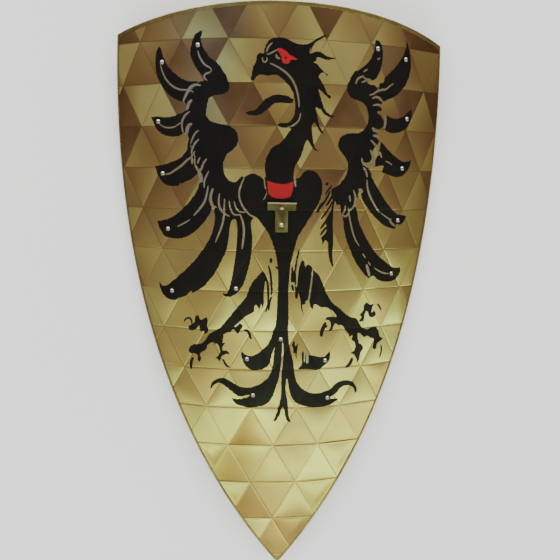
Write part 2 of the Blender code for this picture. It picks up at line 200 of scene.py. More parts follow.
# The bracket's rounded corners, its broken edges, and how far down from its ledge the painted highlight reaches
BRACKET_CORNER = 0.0010
BRACKET_BEVEL = 0.0006
BEVEL_STEPS = 3
LEDGE_HIGHLIGHT_DEPTH = 0.0015
WELD_DISTANCE = 0.00001
FLAT_ANGLE = math.radians(1)
SQUARE_ANGLE = math.radians(50)
UPRIGHT_SHARE = 0.99
THICKNESS_MARGIN = 1.1

# Paints: colour, worn colour and roughness
BLACK_PAINT = ((0.0030, 0.0026, 0.0021), (0.0055, 0.0044, 0.0031), 0.30)
RED_PAINT = ((0.28, 0.0058, 0.0078), (0.21, 0.0058, 0.0078), 0.34)
# Strips of brass: bright and dull colour, roughness and the colour of a painted highlight along the bracket's ledge
EDGING_BRASS = ((0.52, 0.45, 0.18), (0.22, 0.175, 0.070), 0.2)
BRACKET_BRASS = ((0.20, 0.182, 0.084), (0.12, 0.107, 0.048), 0.24, (0.62, 0.57, 0.37))
# Nails: bright and dull colour
NAIL_SILVER = ((0.56, 0.61, 0.65), (0.32, 0.35, 0.38))
NAIL_BRASS = ((0.80, 0.73, 0.50), (0.45, 0.39, 0.22))

# Surroundings
FLOOR = 4.0
FLOOR_DROP = 0.0005
FLOOR_PALE = ((0.88, 0.88, 0.87), (0.91, 0.91, 0.90))
STUDIO_LIGHT = (1.5, 1.5, 1.5)
# The room that the gloss shows: how its bounds waver and slant, and how far it runs from the top to the foot
ROOM_CLOUDS = 2.2
ROOM_WOBBLE = 0.35
ROOM_SKEW = 0.06
ROOM_REACH = 0.9
# What its colours are multiplied by low down, and from which height up to which that fades
ROOM_LOW = (0.52, 0.42, 0.34)
ROOM_LOW_HEIGHTS = (-0.1, 0.55)
# Its patches: middle and reach across, middle and reach along, and what each multiplies the colours by
ROOM_PATCHES = (
    ((-0.75, 0.65), (0.80, 0.42), (0.55, 0.46, 0.40)),
    ((-0.50, 0.26), (-0.22, 0.30), (0.90, 1.25, 1.90)),
    ((-0.75, 0.65), (0.55, 0.12), (0.62, 0.57, 0.46)),
    ((0.75, 0.65), (0.59, 0.09), (0.48, 0.36, 0.28)),
)
# The share of its reach in which a patch is whole
PATCH_CORE = 0.6
# Its colours, from beyond the top to beyond the foot
ROOM_ALONG = (
    (0.0, (4.5, 4.5, 4.1)),
    (0.11, (4.5, 4.5, 4.1)),
    (0.18, (0.36, 0.30, 0.29)),
    (0.43, (0.36, 0.30, 0.29)),
    (0.53, (0.33, 0.275, 0.255)),
    (0.655, (0.375, 0.315, 0.27)),
    (0.69, (0.53, 0.50, 0.38)),
    (0.715, (1.10, 1.22, 0.92)),
    (0.735, (2.00, 2.50, 1.60)),
    (0.76, (3.60, 4.80, 2.40)),
    (0.785, (2.40, 2.90, 1.55)),
    (0.815, (0.98, 0.74, 0.56)),
    (0.85, (0.72, 0.52, 0.41)),
    (1.0, (0.60, 0.46, 0.36)),
)
# Each light's name, place, size, power, colour and whether it is seen in the gloss
LIGHTS = (
    ("softbox_foot", (-0.5, -1.9, 2.0), (1.6, 1.2), 22.0, (1.0, 0.98, 0.94), False),
    ("softbox_left", (-2.0, 0.8, 1.7), (1.2, 1.2), 12.0, (1.0, 0.97, 0.93), False),
    ("softbox_top", (0.3, 2.3, 1.3), (0.9, 0.9), 10.0, (1.0, 1.0, 1.0), True),
)

# The camera's lens, and its place and axes beside the level shield, before both lean
CAMERA_SENSOR = 36.0
CAMERA_LENS = 42.48
CAMERA_PLACE = (-0.0648, -0.0950, 0.6940)
CAMERA_AXES = (
    (0.996117, 0.019132, 0.085910),
    (-0.005532, 0.987768, -0.155832),
    (-0.087840, 0.154753, 0.984040),
)

# The eagle, in millimetres: across from the centre line, and up from the tip of the face.
# A shape is a closed outline of smooth runs, and a third value marks a sharp point.
# A stroke is a line that thins towards its ends, after its greatest width.
EAGLE_SHAPES = {
    "left_wing": [
        (-90, 526.5), (-83, 528.5), (-77, 538), (-70, 543.5), (-63.5, 535), (-58.8, 525), (-59, 518.5),
        (-65, 514.5), (-74, 513), (-79.5, 510.5), (-81.8, 503), (-82.8, 493), (-79, 488), (-74, 485.8),
        (-66, 484), (-59, 483), (-53, 479), (-49.3, 473), (-49.5, 465), (-54, 459), (-60, 454),
        (-64, 446), (-64.2, 439), (-62, 431), (-57.5, 426.5), (-52, 425.2), (-48, 427.8), (-44, 431.5),
        (-42, 424), (-44, 412), (-42, 400), (-38, 393), (-46, 387), (-60, 388), (-70, 396), (-77, 404),
        (-84, 414), (-88, 426), (-89, 437), (-94, 442), (-95, 452), (-98, 459), (-101, 466), (-103, 473),
        (-107, 480), (-108, 488), (-104.5, 497), (-103.5, 501), (-105.5, 506.5), (-103, 514), (-97, 520),
    ],
    "left_feather_1": [
        (-87, 577, 1), (-95, 573), (-98.7, 563), (-100, 555), (-97.5, 547), (-92, 538.5), (-87, 533),
        (-83, 528), (-74, 526), (-65, 535), (-71.5, 545), (-79.5, 551.3), (-85.5, 559.5), (-88.6, 568),
    ],
    "left_feather_2": [
        (-136, 563, 1), (-139.5, 556), (-140.2, 545), (-138.8, 535), (-134, 525.5), (-127, 516.5),
        (-119, 510.5), (-109, 506.5, 1), (-107, 513), (-101, 520), (-92, 526.5), (-102, 527.3),
        (-111, 531), (-119, 536.7), (-126.5, 544.5), (-131, 553), (-133.3, 560),
    ],
    "left_feather_3": [
        (-146, 491.5, 1), (-138, 492.2), (-129, 491.2), (-120, 492.2), (-111, 495), (-104, 498.5),
        (-99, 498), (-100, 488), (-104, 480), (-107, 475.5), (-113, 472.3), (-121, 471.3), (-130, 473),
        (-137, 477), (-141.5, 482.5),
    ],
    "left_feather_4": [
        (-142, 440.5, 1), (-132, 442), (-121, 445.3), (-112, 449.5), (-105.5, 455), (-101, 461.5),
        (-96, 454), (-95.5, 443), (-91, 435), (-95, 430.5), (-102, 426), (-110, 422.8), (-112.3, 423.5, 1),
        (-113.5, 420.6), (-121, 419.7), (-129, 421.2), (-135.5, 426.5), (-139.3, 433),
    ],
    "left_feather_5": [
        (-140, 381.7, 1), (-132, 383.2), (-122, 386.5), (-113, 392.5), (-106, 399), (-99, 406.5),
        (-92.5, 416), (-88.5, 427), (-83, 432), (-79, 421), (-80, 408), (-76.5, 398), (-79, 391),
        (-85.5, 381.8), (-92, 374.8), (-99, 369.7), (-106, 365.8), (-115, 364), (-125, 364.5),
        (-131.5, 366.7), (-136, 373),
    ],
    "left_feather_6": [
        (-138, 316.5, 1), (-133.8, 311.2), (-127.5, 312.8), (-120, 318.7), (-112, 325.3), (-104.5, 332),
        (-98, 338.5), (-91, 347), (-84, 356.5), (-78, 367), (-74.3, 378), (-72.8, 388), (-73, 398),
        (-60, 401), (-54, 389), (-56.7, 380), (-58, 367), (-60.5, 353.5), (-65.5, 342.5), (-71.5, 331),
        (-78.5, 321), (-85.5, 313.3), (-92, 308.7), (-98, 305.2, 1), (-99.5, 308.6, 1), (-105, 303),
        (-113, 299), (-121, 296.4), (-129, 298.5), (-134, 303.3), (-137.2, 309.5),
    ],
    "left_feather_7": [
        (-63, 307.8, 1), (-63.2, 304.8), (-59, 303.5), (-54, 304.6), (-47, 310), (-41.5, 318.5),
        (-38, 330), (-35, 342), (-33.3, 356), (-33, 368), (-34.3, 379), (-34.3, 385), (-31.5, 389, 1),
        (-38, 395), (-46, 397), (-52, 390), (-49.3, 382), (-49, 370), (-50, 353), (-52, 338),
        (-54.5, 323), (-57, 313), (-60, 306.8),
    ],
    "body": [
        (-34, 434.5), (-27.5, 432.5), (-22.3, 429), (-21, 422.5), (-18.8, 416), (-16, 410.5), (-8, 408.3),
        (1, 408.5), (7.5, 411.5), (10.2, 417), (10.5, 425), (11.5, 431.5, 1), (14, 430.3), (17, 432.8),
        (20, 437.3), (26, 439), (32, 437.7), (36.5, 433.5), (39.5, 427), (40.2, 419), (38.7, 410),
        (35.5, 402), (31, 395), (25.5, 386), (20.5, 378), (15.5, 369.5), (12.8, 360.5), (10.3, 350),
        (8, 339), (7, 325), (6.3, 310), (6.8, 295), (7.3, 281, 1), (6.8, 270), (7.7, 258), (9, 249),
        (11, 241), (13.3, 232), (14.6, 222), (16.6, 213), (20, 206.3), (25, 201.3), (31, 197.6),
        (38, 196), (45, 196.2), (51, 197.8), (56.5, 200.5), (62, 204.8), (67, 207.6), (73, 208.5),
        (79, 207.6), (84, 205.3), (87.3, 200.5), (89, 195.5), (87, 191.7, 1), (85.7, 195.5), (83.6, 199.3),
        (79.5, 202), (74, 202.3), (69, 200.7), (65.5, 197), (63, 193.7), (56, 190.3), (58.5, 188.4),
        (66.5, 188.2, 1), (61.5, 184), (54.5, 181), (46, 179.8), (38, 179.8), (29.5, 181.2), (21.5, 184),
        (15.5, 187.5), (11.8, 193.5), (9.3, 202), (8, 210), (6.3, 214), (5.5, 204), (6.1, 197),
        (7.6, 190), (8.6, 182), (9.4, 174), (10.6, 167.6), (12.6, 162.8, 1), (9.6, 164.3), (6.8, 168.2),
        (5.3, 173), (4.6, 178.6), (2.8, 181.2), (1, 178), (-0.4, 173), (-3, 168), (-5.5, 164.8, 1),
        (-7.2, 165.6), (-5.6, 170), (-3.6, 175.5), (-2, 182), (0, 190), (0.8, 200), (0.6, 212),
        (0.3, 224), (-0.8, 224), (-1.6, 216), (-3.3, 210), (-5.2, 204), (-7.2, 197.5), (-10, 191),
        (-14.3, 185.8), (-20.5, 182.8), (-27, 181.4), (-34, 180.2), (-41, 181.8), (-47.7, 183.7),
        (-51.5, 187.3), (-54.5, 191.7, 1), (-50, 190.1), (-42.5, 190.5), (-37, 192), (-33.5, 195),
        (-38.5, 194.2), (-44.3, 193), (-49, 195), (-55, 199.7), (-61, 204.3), (-66, 207),
        (-70.8, 206.3), (-74.8, 202.8), (-77, 198.8, 1), (-77.2, 203.3), (-74.2, 208.6), (-69, 212),
        (-62.5, 213), (-57, 211), (-50.5, 207.3), (-44.5, 204.1), (-36.5, 203.3), (-28.5, 204.8),
        (-20.8, 208.8), (-14.5, 214.5), (-10.5, 222), (-8.6, 232), (-8, 241), (-7.2, 249, 1), (-9.7, 243),
        (-11.3, 236), (-13, 230), (-17, 226.3), (-23, 223.7), (-29.3, 222.8), (-35, 225), (-39.2, 229.3),
        (-42.3, 235.8), (-43.6, 242.3), (-42, 243.8, 1), (-38.3, 240.2), (-33, 239), (-27.7, 241),
        (-22, 245), (-17, 249.3), (-13.2, 255), (-10.4, 262), (-9.3, 268), (-6.7, 273, 1), (-5.7, 285),
        (-5.3, 300), (-4.8, 315), (-5, 330), (-6.5, 343), (-9, 355), (-13, 366), (-18, 375.5),
        (-24, 383.5), (-29, 389), (-37, 393.5), (-43.5, 401), (-46, 411), (-46, 421), (-42, 430.3),
    ],
    "neck": [
        (8.6, 427.3), (3, 425.4), (-4, 424.8), (-11, 426.3), (-17, 429), (-20, 434), (-20.8, 442),
        (-19.3, 451), (-15, 459.5), (-10.5, 463.6), (-5.5, 466.3), (-1, 470.5), (2, 476), (5.5, 481),
        (-1, 481.8), (-5, 482), (-8.5, 484, 1), (-4.5, 486.3), (1, 486.6), (5.5, 489.2), (8.2, 493.5),
        (9.2, 500), (9.2, 506), (8.2, 512), (5.5, 519.5), (0.5, 526), (-5, 530.7), (-11, 534),
        (-19, 533), (-26, 533.8), (-31, 531.6), (-34.2, 528), (-36.5, 528.7, 1), (-35.2, 536),
        (-34, 542), (-31.2, 547), (-30.6, 552.5), (-27, 555.3), (-23.8, 554.6), (-22.6, 559.5),
        (-20.8, 564.5), (-17, 568.6), (-11, 570.3), (-4, 570.4), (2, 568.2), (8.5, 565.5), (15.5, 564.6),
        (22, 565.6), (26.5, 568.2), (31, 571.7), (37.5, 574.6), (44.5, 574.3, 1), (38.5, 573.2),
        (32.2, 569.8), (28, 565.8), (25.3, 561.5), (23.3, 556, 1), (28.5, 558), (34, 558.2),
        (40, 554.8), (46, 553.4), (51.5, 553.4, 1), (46, 551.4), (40.3, 550.9), (35, 552.4), (30.8, 553),
        (30, 550), (26.3, 547.8, 1), (31.5, 545.8), (36, 541), (40, 537.8), (43.3, 536, 1),
        (42, 534.8), (38.5, 538.2), (35, 537.2), (32.6, 533.5, 1), (36, 529.5), (39.8, 523),
        (43.6, 516.8), (47.2, 514.6), (45.3, 512.3, 1), (41, 515.6), (37, 519.3), (33, 521.5, 1),
        (35.7, 513), (38.7, 505), (42.3, 499.2), (47.3, 496), (53, 494.6, 1), (46.5, 493.8),
        (40, 496.8), (36, 501.2), (30.4, 503.5, 1), (32.8, 494), (35, 485.5), (38.7, 478.8),
        (41, 476, 1), (36, 478.8), (32.3, 484.5), (29.8, 487.8), (27.3, 484), (28, 475), (29.6, 466.3),
        (32, 461.4), (36, 458.4, 1), (31, 459.8), (27.6, 463), (25, 467.3), (22.8, 470), (19.8, 464),
        (17.5, 456.5), (14.8, 449.8), (11, 444), (9.5, 437), (9, 431),
    ],
    "tongue": [
        (-41.5, 496.2), (-36.5, 497.8), (-31.5, 499.3), (-27, 504), (-21.5, 509.2), (-15.5, 512.7),
        (-10, 514.6), (-4, 514.2), (1.5, 513.3), (7.3, 510.3, 1), (7, 506.8, 1), (1, 506.2),
        (-5, 506.6), (-11, 505.8), (-16, 502.6), (-21, 498), (-26, 494.5), (-32, 493.4), (-39.5, 494),
    ],
    "left_leg": [
        (-20.5, 332.5, 1), (-24, 330), (-28, 325.5), (-32, 320.3), (-36.3, 311.5), (-38.5, 304), (-42, 300),
        (-46.7, 294), (-52, 287.5), (-57, 280.7), (-63, 273.3), (-68, 268.3), (-73.5, 265), (-78, 262.3),
        (-81.5, 257), (-86, 251.5), (-91, 249.3), (-97, 248.7), (-101, 245.8), (-102.6, 241.5),
        (-99.5, 238.3), (-94.5, 238.7), (-91.7, 235.5), (-92, 231.5), (-90.3, 229, 1), (-88, 233),
        (-89.3, 238.3), (-86.5, 241.3), (-82.5, 244), (-80.5, 249.3), (-77.5, 251.8), (-74, 252.7),
        (-72.6, 249.7, 1), (-71, 251.6), (-68.5, 249), (-66.7, 244.5), (-67.2, 240), (-70, 236.4),
        (-73, 234, 1), (-70, 234.8), (-67.8, 231, 1), (-66, 234.2), (-64, 238), (-60.5, 240.3),
        (-56.5, 239.8, 1), (-56.3, 241.8), (-60, 243.9), (-64, 244.2), (-63.5, 248.5), (-61, 252.3, 1),
        (-64, 252.5), (-63.3, 257), (-62.3, 262.5), (-58.5, 264), (-54.8, 265, 1), (-53, 268),
        (-50, 266.3), (-47.5, 263, 1), (-45.3, 266.5), (-42, 271), (-43.3, 274.2), (-45.5, 275.2),
        (-43, 279), (-38, 283), (-33, 286), (-30, 287.7, 1), (-29.7, 294.5), (-27.5, 295.5), (-25.3, 292.3),
        (-25, 285, 1), (-24, 292.5), (-22.3, 297), (-21, 291.5, 1), (-19.6, 298), (-20, 308),
        (-19, 318), (-17.5, 325.5),
    ],
    "left_toe": [
        (-92.5, 282), (-95, 279), (-95.4, 274.5), (-98, 271), (-101, 269.8), (-103, 268, 1), (-101.5, 264.7),
        (-97, 264.3), (-93, 266.5), (-91, 270.3), (-89.6, 268), (-89.5, 263.8, 1), (-84.8, 264.3),
        (-84, 260, 1), (-81.5, 262.5), (-79.6, 265.5), (-81, 270), (-80.8, 276), (-81.6, 279.6),
        (-85, 278), (-87.7, 276.5), (-90, 278.5), (-90.6, 281),
    ],
    "right_leg": [
        (20, 343.6), (22.3, 342.5), (24, 336.8), (26.5, 339.6), (30, 338.5), (32, 335), (33.8, 333.2, 1),
        (36.5, 330.6), (40.5, 325.5), (44, 318.5), (47, 311), (50, 305), (54, 299), (58.5, 294.8),
        (63.5, 291.2), (68, 287.3), (73, 283), (79, 280), (84.5, 278.5), (88, 274.5), (91.5, 268.8),
        (95, 266.3), (100, 265.2), (105, 267), (109.5, 267.4), (113, 264.5), (115.3, 259.5),
        (116.5, 255.3), (121.3, 252.8, 1), (116.3, 249), (113, 247), (112.3, 242.8), (109.7, 240.8),
        (107.3, 243.3), (108, 248), (109, 251.8), (106.7, 254.3), (103, 255.2), (99.8, 258), (96, 256.8),
        (93, 258.3), (90, 261.3), (87.3, 261.5), (87.2, 257.5), (88.3, 253), (90.2, 249.3), (93.3, 247.4),
        (94.7, 244), (92.2, 240), (91, 236), (90.3, 230.3), (87, 228.2, 1), (87.5, 231.5), (85.3, 235),
        (82, 238.7), (78.3, 237.8, 1), (80, 240.2), (83.7, 242.5), (85, 247), (83.8, 251), (81, 253.8),
        (79.6, 255.3), (80.8, 259.6), (77, 257.8, 1), (76.3, 260.7), (73.5, 264), (70.5, 268),
        (67.5, 272), (63.5, 271.7), (59.8, 274), (57.2, 270.8), (56.6, 267), (52, 265.8, 1),
        (54.2, 270), (54.2, 274.5), (51.8, 278), (47.5, 278.8, 1), (50, 281.3), (55, 282), (61, 281.5, 1),
        (58.5, 286), (53.5, 290), (48, 292.6), (43, 292.6), (38, 295.6), (34.3, 295.8), (34.3, 290.7, 1),
        (31, 293.5), (29.6, 299), (27.5, 301), (25.2, 300.3), (24.8, 296.5), (21.5, 295.8),
        (23.6, 284.3, 1), (20.6, 292), (19.8, 299), (18.3, 306), (15.8, 312), (16, 322), (17.6, 334),
    ],
    "right_toe": [
        (96, 295), (98.3, 295.6), (100.5, 293.3), (103.5, 293), (107.5, 293.6, 1), (105, 290), (104, 286.3),
        (105.3, 283.8), (107.5, 285.6), (110, 283), (108.8, 280), (105.5, 278.3), (102, 279),
        (100.3, 282.5), (98.8, 285), (96.8, 285.8), (95.3, 282.5), (95, 278.5), (93.6, 274, 1),
        (91, 276), (91.5, 280), (88.3, 282, 1), (91.5, 284.8), (93.8, 288.5), (93.6, 292.5),
    ],
    "right_trunk_tuft": [
        (17.6, 357, 1), (15, 351), (13.3, 341), (12, 332, 1), (9.6, 338.5, 1), (8.7, 329), (8.8, 320.5, 1),
        (12.6, 320), (13.2, 313.5, 1), (14.6, 320), (14.4, 329), (15.6, 340),
    ],
    "right_tail_tuft": [
        (13.8, 257.5, 1), (11.5, 252, 1), (13, 247), (12.8, 242.7, 1), (15.2, 242.5, 1), (16.4, 235.5, 1),
        (17.3, 243), (18.2, 254.3, 1), (15.4, 249.5, 1),
    ],
    "right_tail_feather": [
        (30, 239.5), (36, 239), (43, 237.2), (48.5, 237.7), (54, 243, 1), (54.8, 237), (52.3, 231),
        (47, 226), (40.5, 222.5), (32, 223.8), (24, 224), (19, 223.8, 1), (19.6, 226), (22.2, 228.5),
        (23, 234), (22.5, 240), (24, 244.6, 1), (26, 239), (28, 241.2, 1), (29, 236.5),
    ],
    "right_wing": [
        (75, 542), (69.5, 536.5), (66, 530), (64.3, 523.5), (66, 518), (70, 514.3), (76, 512.5),
        (82, 510.7), (86.5, 507), (89.3, 501.5), (90.4, 495), (89.4, 488.3), (85.5, 483), (80, 479),
        (73, 478.5), (66, 477.6), (60, 475), (57, 470), (56.2, 464.8), (58.5, 460), (62.5, 456),
        (66.5, 451), (68.2, 445.5), (68, 439.5), (65.5, 433), (61.5, 427.5), (56.5, 422.8), (51.5, 421),
        (50.3, 416), (52.5, 410.5), (55, 407), (57.5, 402.8, 1), (60.5, 403.5), (62, 396), (64, 390),
        (70, 389), (75, 396), (77.8, 403), (78, 412), (81, 411, 1), (83, 420.5), (87.5, 420.5), (88, 430),
        (86, 440), (86, 448), (93, 448.5), (96, 453), (97.5, 462), (101.5, 466), (104.7, 471, 1),
        (100.5, 475.8), (97, 478), (104, 478.6, 1), (98, 481.5), (97.3, 484.8), (104, 483.8),
        (108.7, 486.8), (109.7, 492), (106.5, 497.5), (101, 500.6), (101.5, 502.8), (105.7, 503),
        (106, 506.3), (101, 508), (105.5, 509.3), (106.3, 512), (100, 515.5), (97.8, 519.5), (100.3, 524),
        (97, 528.6), (90, 529.5), (86, 533),
    ],
    "right_feather_1": [
        (95.3, 574.5, 1), (100, 573.8), (103.7, 568), (104.9, 560), (104.2, 551), (101.7, 542.5),
        (97.3, 535.8), (92, 533), (86, 533), (80, 530), (71, 529), (67.5, 534), (73, 540.3), (80.5, 545.7),
        (87.3, 551), (92, 558.5), (94.5, 566),
    ],
    "right_feather_2": [
        (136.5, 578, 1), (140.5, 568), (143, 558), (143, 548), (139, 536), (132, 526.5), (124, 520),
        (115, 515.7), (107, 513.3), (100.5, 517), (97.5, 521.5), (102, 525.3), (102.3, 531), (107, 532.5),
        (110, 539), (118, 545.5), (126, 554.5), (132, 562.5), (135, 570),
    ],
    "right_feather_3": [
        (112, 499.2, 1), (118, 497), (125, 496), (132, 497.3), (138, 500.5), (143, 504.5), (148, 508, 1),
        (148.2, 500), (145.5, 493), (141, 487), (134, 483), (126, 481), (118, 481), (111.5, 483.5, 1),
        (113, 491),
    ],
    "right_feather_4": [
        (107, 471.3, 1), (113, 466), (121, 459.7), (130, 454.5), (140, 450.5), (150.3, 452.7, 1),
        (149, 445.5), (144, 439), (136, 434.5), (127, 434), (118, 436.5), (109.7, 438.7, 1), (112, 445),
        (107, 445.5), (101, 444.3, 1), (101, 452), (104.5, 457), (106, 464),
    ],
    "right_feather_5": [
        (84, 444), (91.5, 443), (95.8, 438.5), (97.8, 432), (104, 423), (111, 414), (118, 406),
        (125.5, 399), (133, 393, 1), (138, 392.2), (148.2, 391, 1), (144, 385), (139, 381.5), (133, 381.7),
        (132, 376.8, 1), (124, 378), (115, 381.5), (106, 388), (98, 395), (91, 403), (86, 411),
        (85, 417.5), (87.5, 421.5), (83, 428),
    ],
    "right_feather_6": [
        (77.5, 403, 1), (81, 396), (82.6, 388), (87.3, 377.5), (94, 367), (101, 357), (109, 348.2),
        (117, 342.3), (126, 336.2), (134, 332.8), (141.5, 333.2, 1), (141.5, 327), (137, 321),
        (130, 318), (120, 318), (111, 320.5), (104, 325.5), (98, 323, 1), (91, 329.5), (84, 337.5),
        (79, 345), (74, 355.5), (69, 367), (66, 378), (65, 387), (62.5, 395), (66, 403), (72, 401),
    ],
    "right_plume": [
        (54.5, 419, 1), (50.5, 416), (52, 408), (50.6, 398), (49, 390), (45.5, 384, 1), (46, 376),
        (44, 371.5), (40, 368, 1), (42, 364), (41.6, 359.3, 1), (44, 364.3), (46.5, 365.5), (48.4, 362),
        (48.8, 355), (50, 347), (52.2, 340), (56, 335, 1), (54.4, 343), (53.5, 352), (54.2, 361),
        (54, 371), (53.2, 381), (53.2, 393), (53.8, 404), (56, 412),
    ],
}
BLACK_STROKES = [
    (4.2, (-98, 516), (-102, 511), (-106, 506.3)),
    (2.6, (-97, 486), (-99.5, 481), (-101, 476)),
    (3.6, (-96, 474), (-100, 468), (-102.5, 459)),
    (2.4, (-15.5, 338.5), (-13.3, 330), (-12, 318), (-11.3, 306)),
    (2.4, (-19, 329), (-16, 318), (-15, 305), (-15.3, 296), (-17.8, 287.5)),
    (2.2, (-11.6, 305), (-13.6, 298), (-14.5, 289.5)),
    (2.8, (-12.8, 346.5), (-13, 341)),
    (2.0, (-8, 337.5), (-5, 334.5)),
    (2.2, (-108, 273), (-105.5, 276.7), (-101.7, 277.8), (-99, 275), (-98.6, 270.5)),
    (3.4, (-97, 234), (-99, 230), (-99.8, 225.5), (-99.3, 220.5)),
    (2.4, (-63.2, 234.5), (-61.3, 230), (-58.3, 226.7), (-55.2, 225)),
    (3.0, (-41, 267.7), (-37, 267), (-34.6, 263), (-33, 257.5)),
    (3.4, (14.5, 316), (15.3, 309), (15, 302.5)),
    (2.6, (10, 318), (12, 310.5)),
    (2.6, (20.3, 343), (18.3, 334), (17.3, 326)),
    (2.4, (111, 293.4), (114, 290.5), (117, 285.5)),
    (2.4, (118, 246), (119.6, 241), (118.8, 235), (117.2, 230.5)),
    (4.2, (74, 223.3), (78, 226.3), (80.3, 230), (81.7, 234)),
    (4.4, (44, 260), (44.3, 265.5), (46.5, 271), (48.7, 276)),
    (3.4, (46, 271), (50.5, 271.5)),
    (3.2, (89, 274.5), (93.5, 279)),
    (2.6, (39.5, 377.5), (43, 382.5), (48, 390), (51, 397)),
    (2.4, (39.5, 371), (43.5, 376.5), (46.5, 380)),
    (2.2, (40, 388), (44, 393.5), (49, 401), (52, 407)),
    (2.4, (37, 399), (41.5, 404), (46, 411.5), (49, 418)),
    (2.6, (45, 402), (49, 408), (53, 415)),
    (2.0, (43.5, 414), (47, 419), (51, 424)),
    (4.0, (43.5, 425), (47, 425.3)),
    (3.4, (35, 395), (38.5, 401), (42, 406)),
]
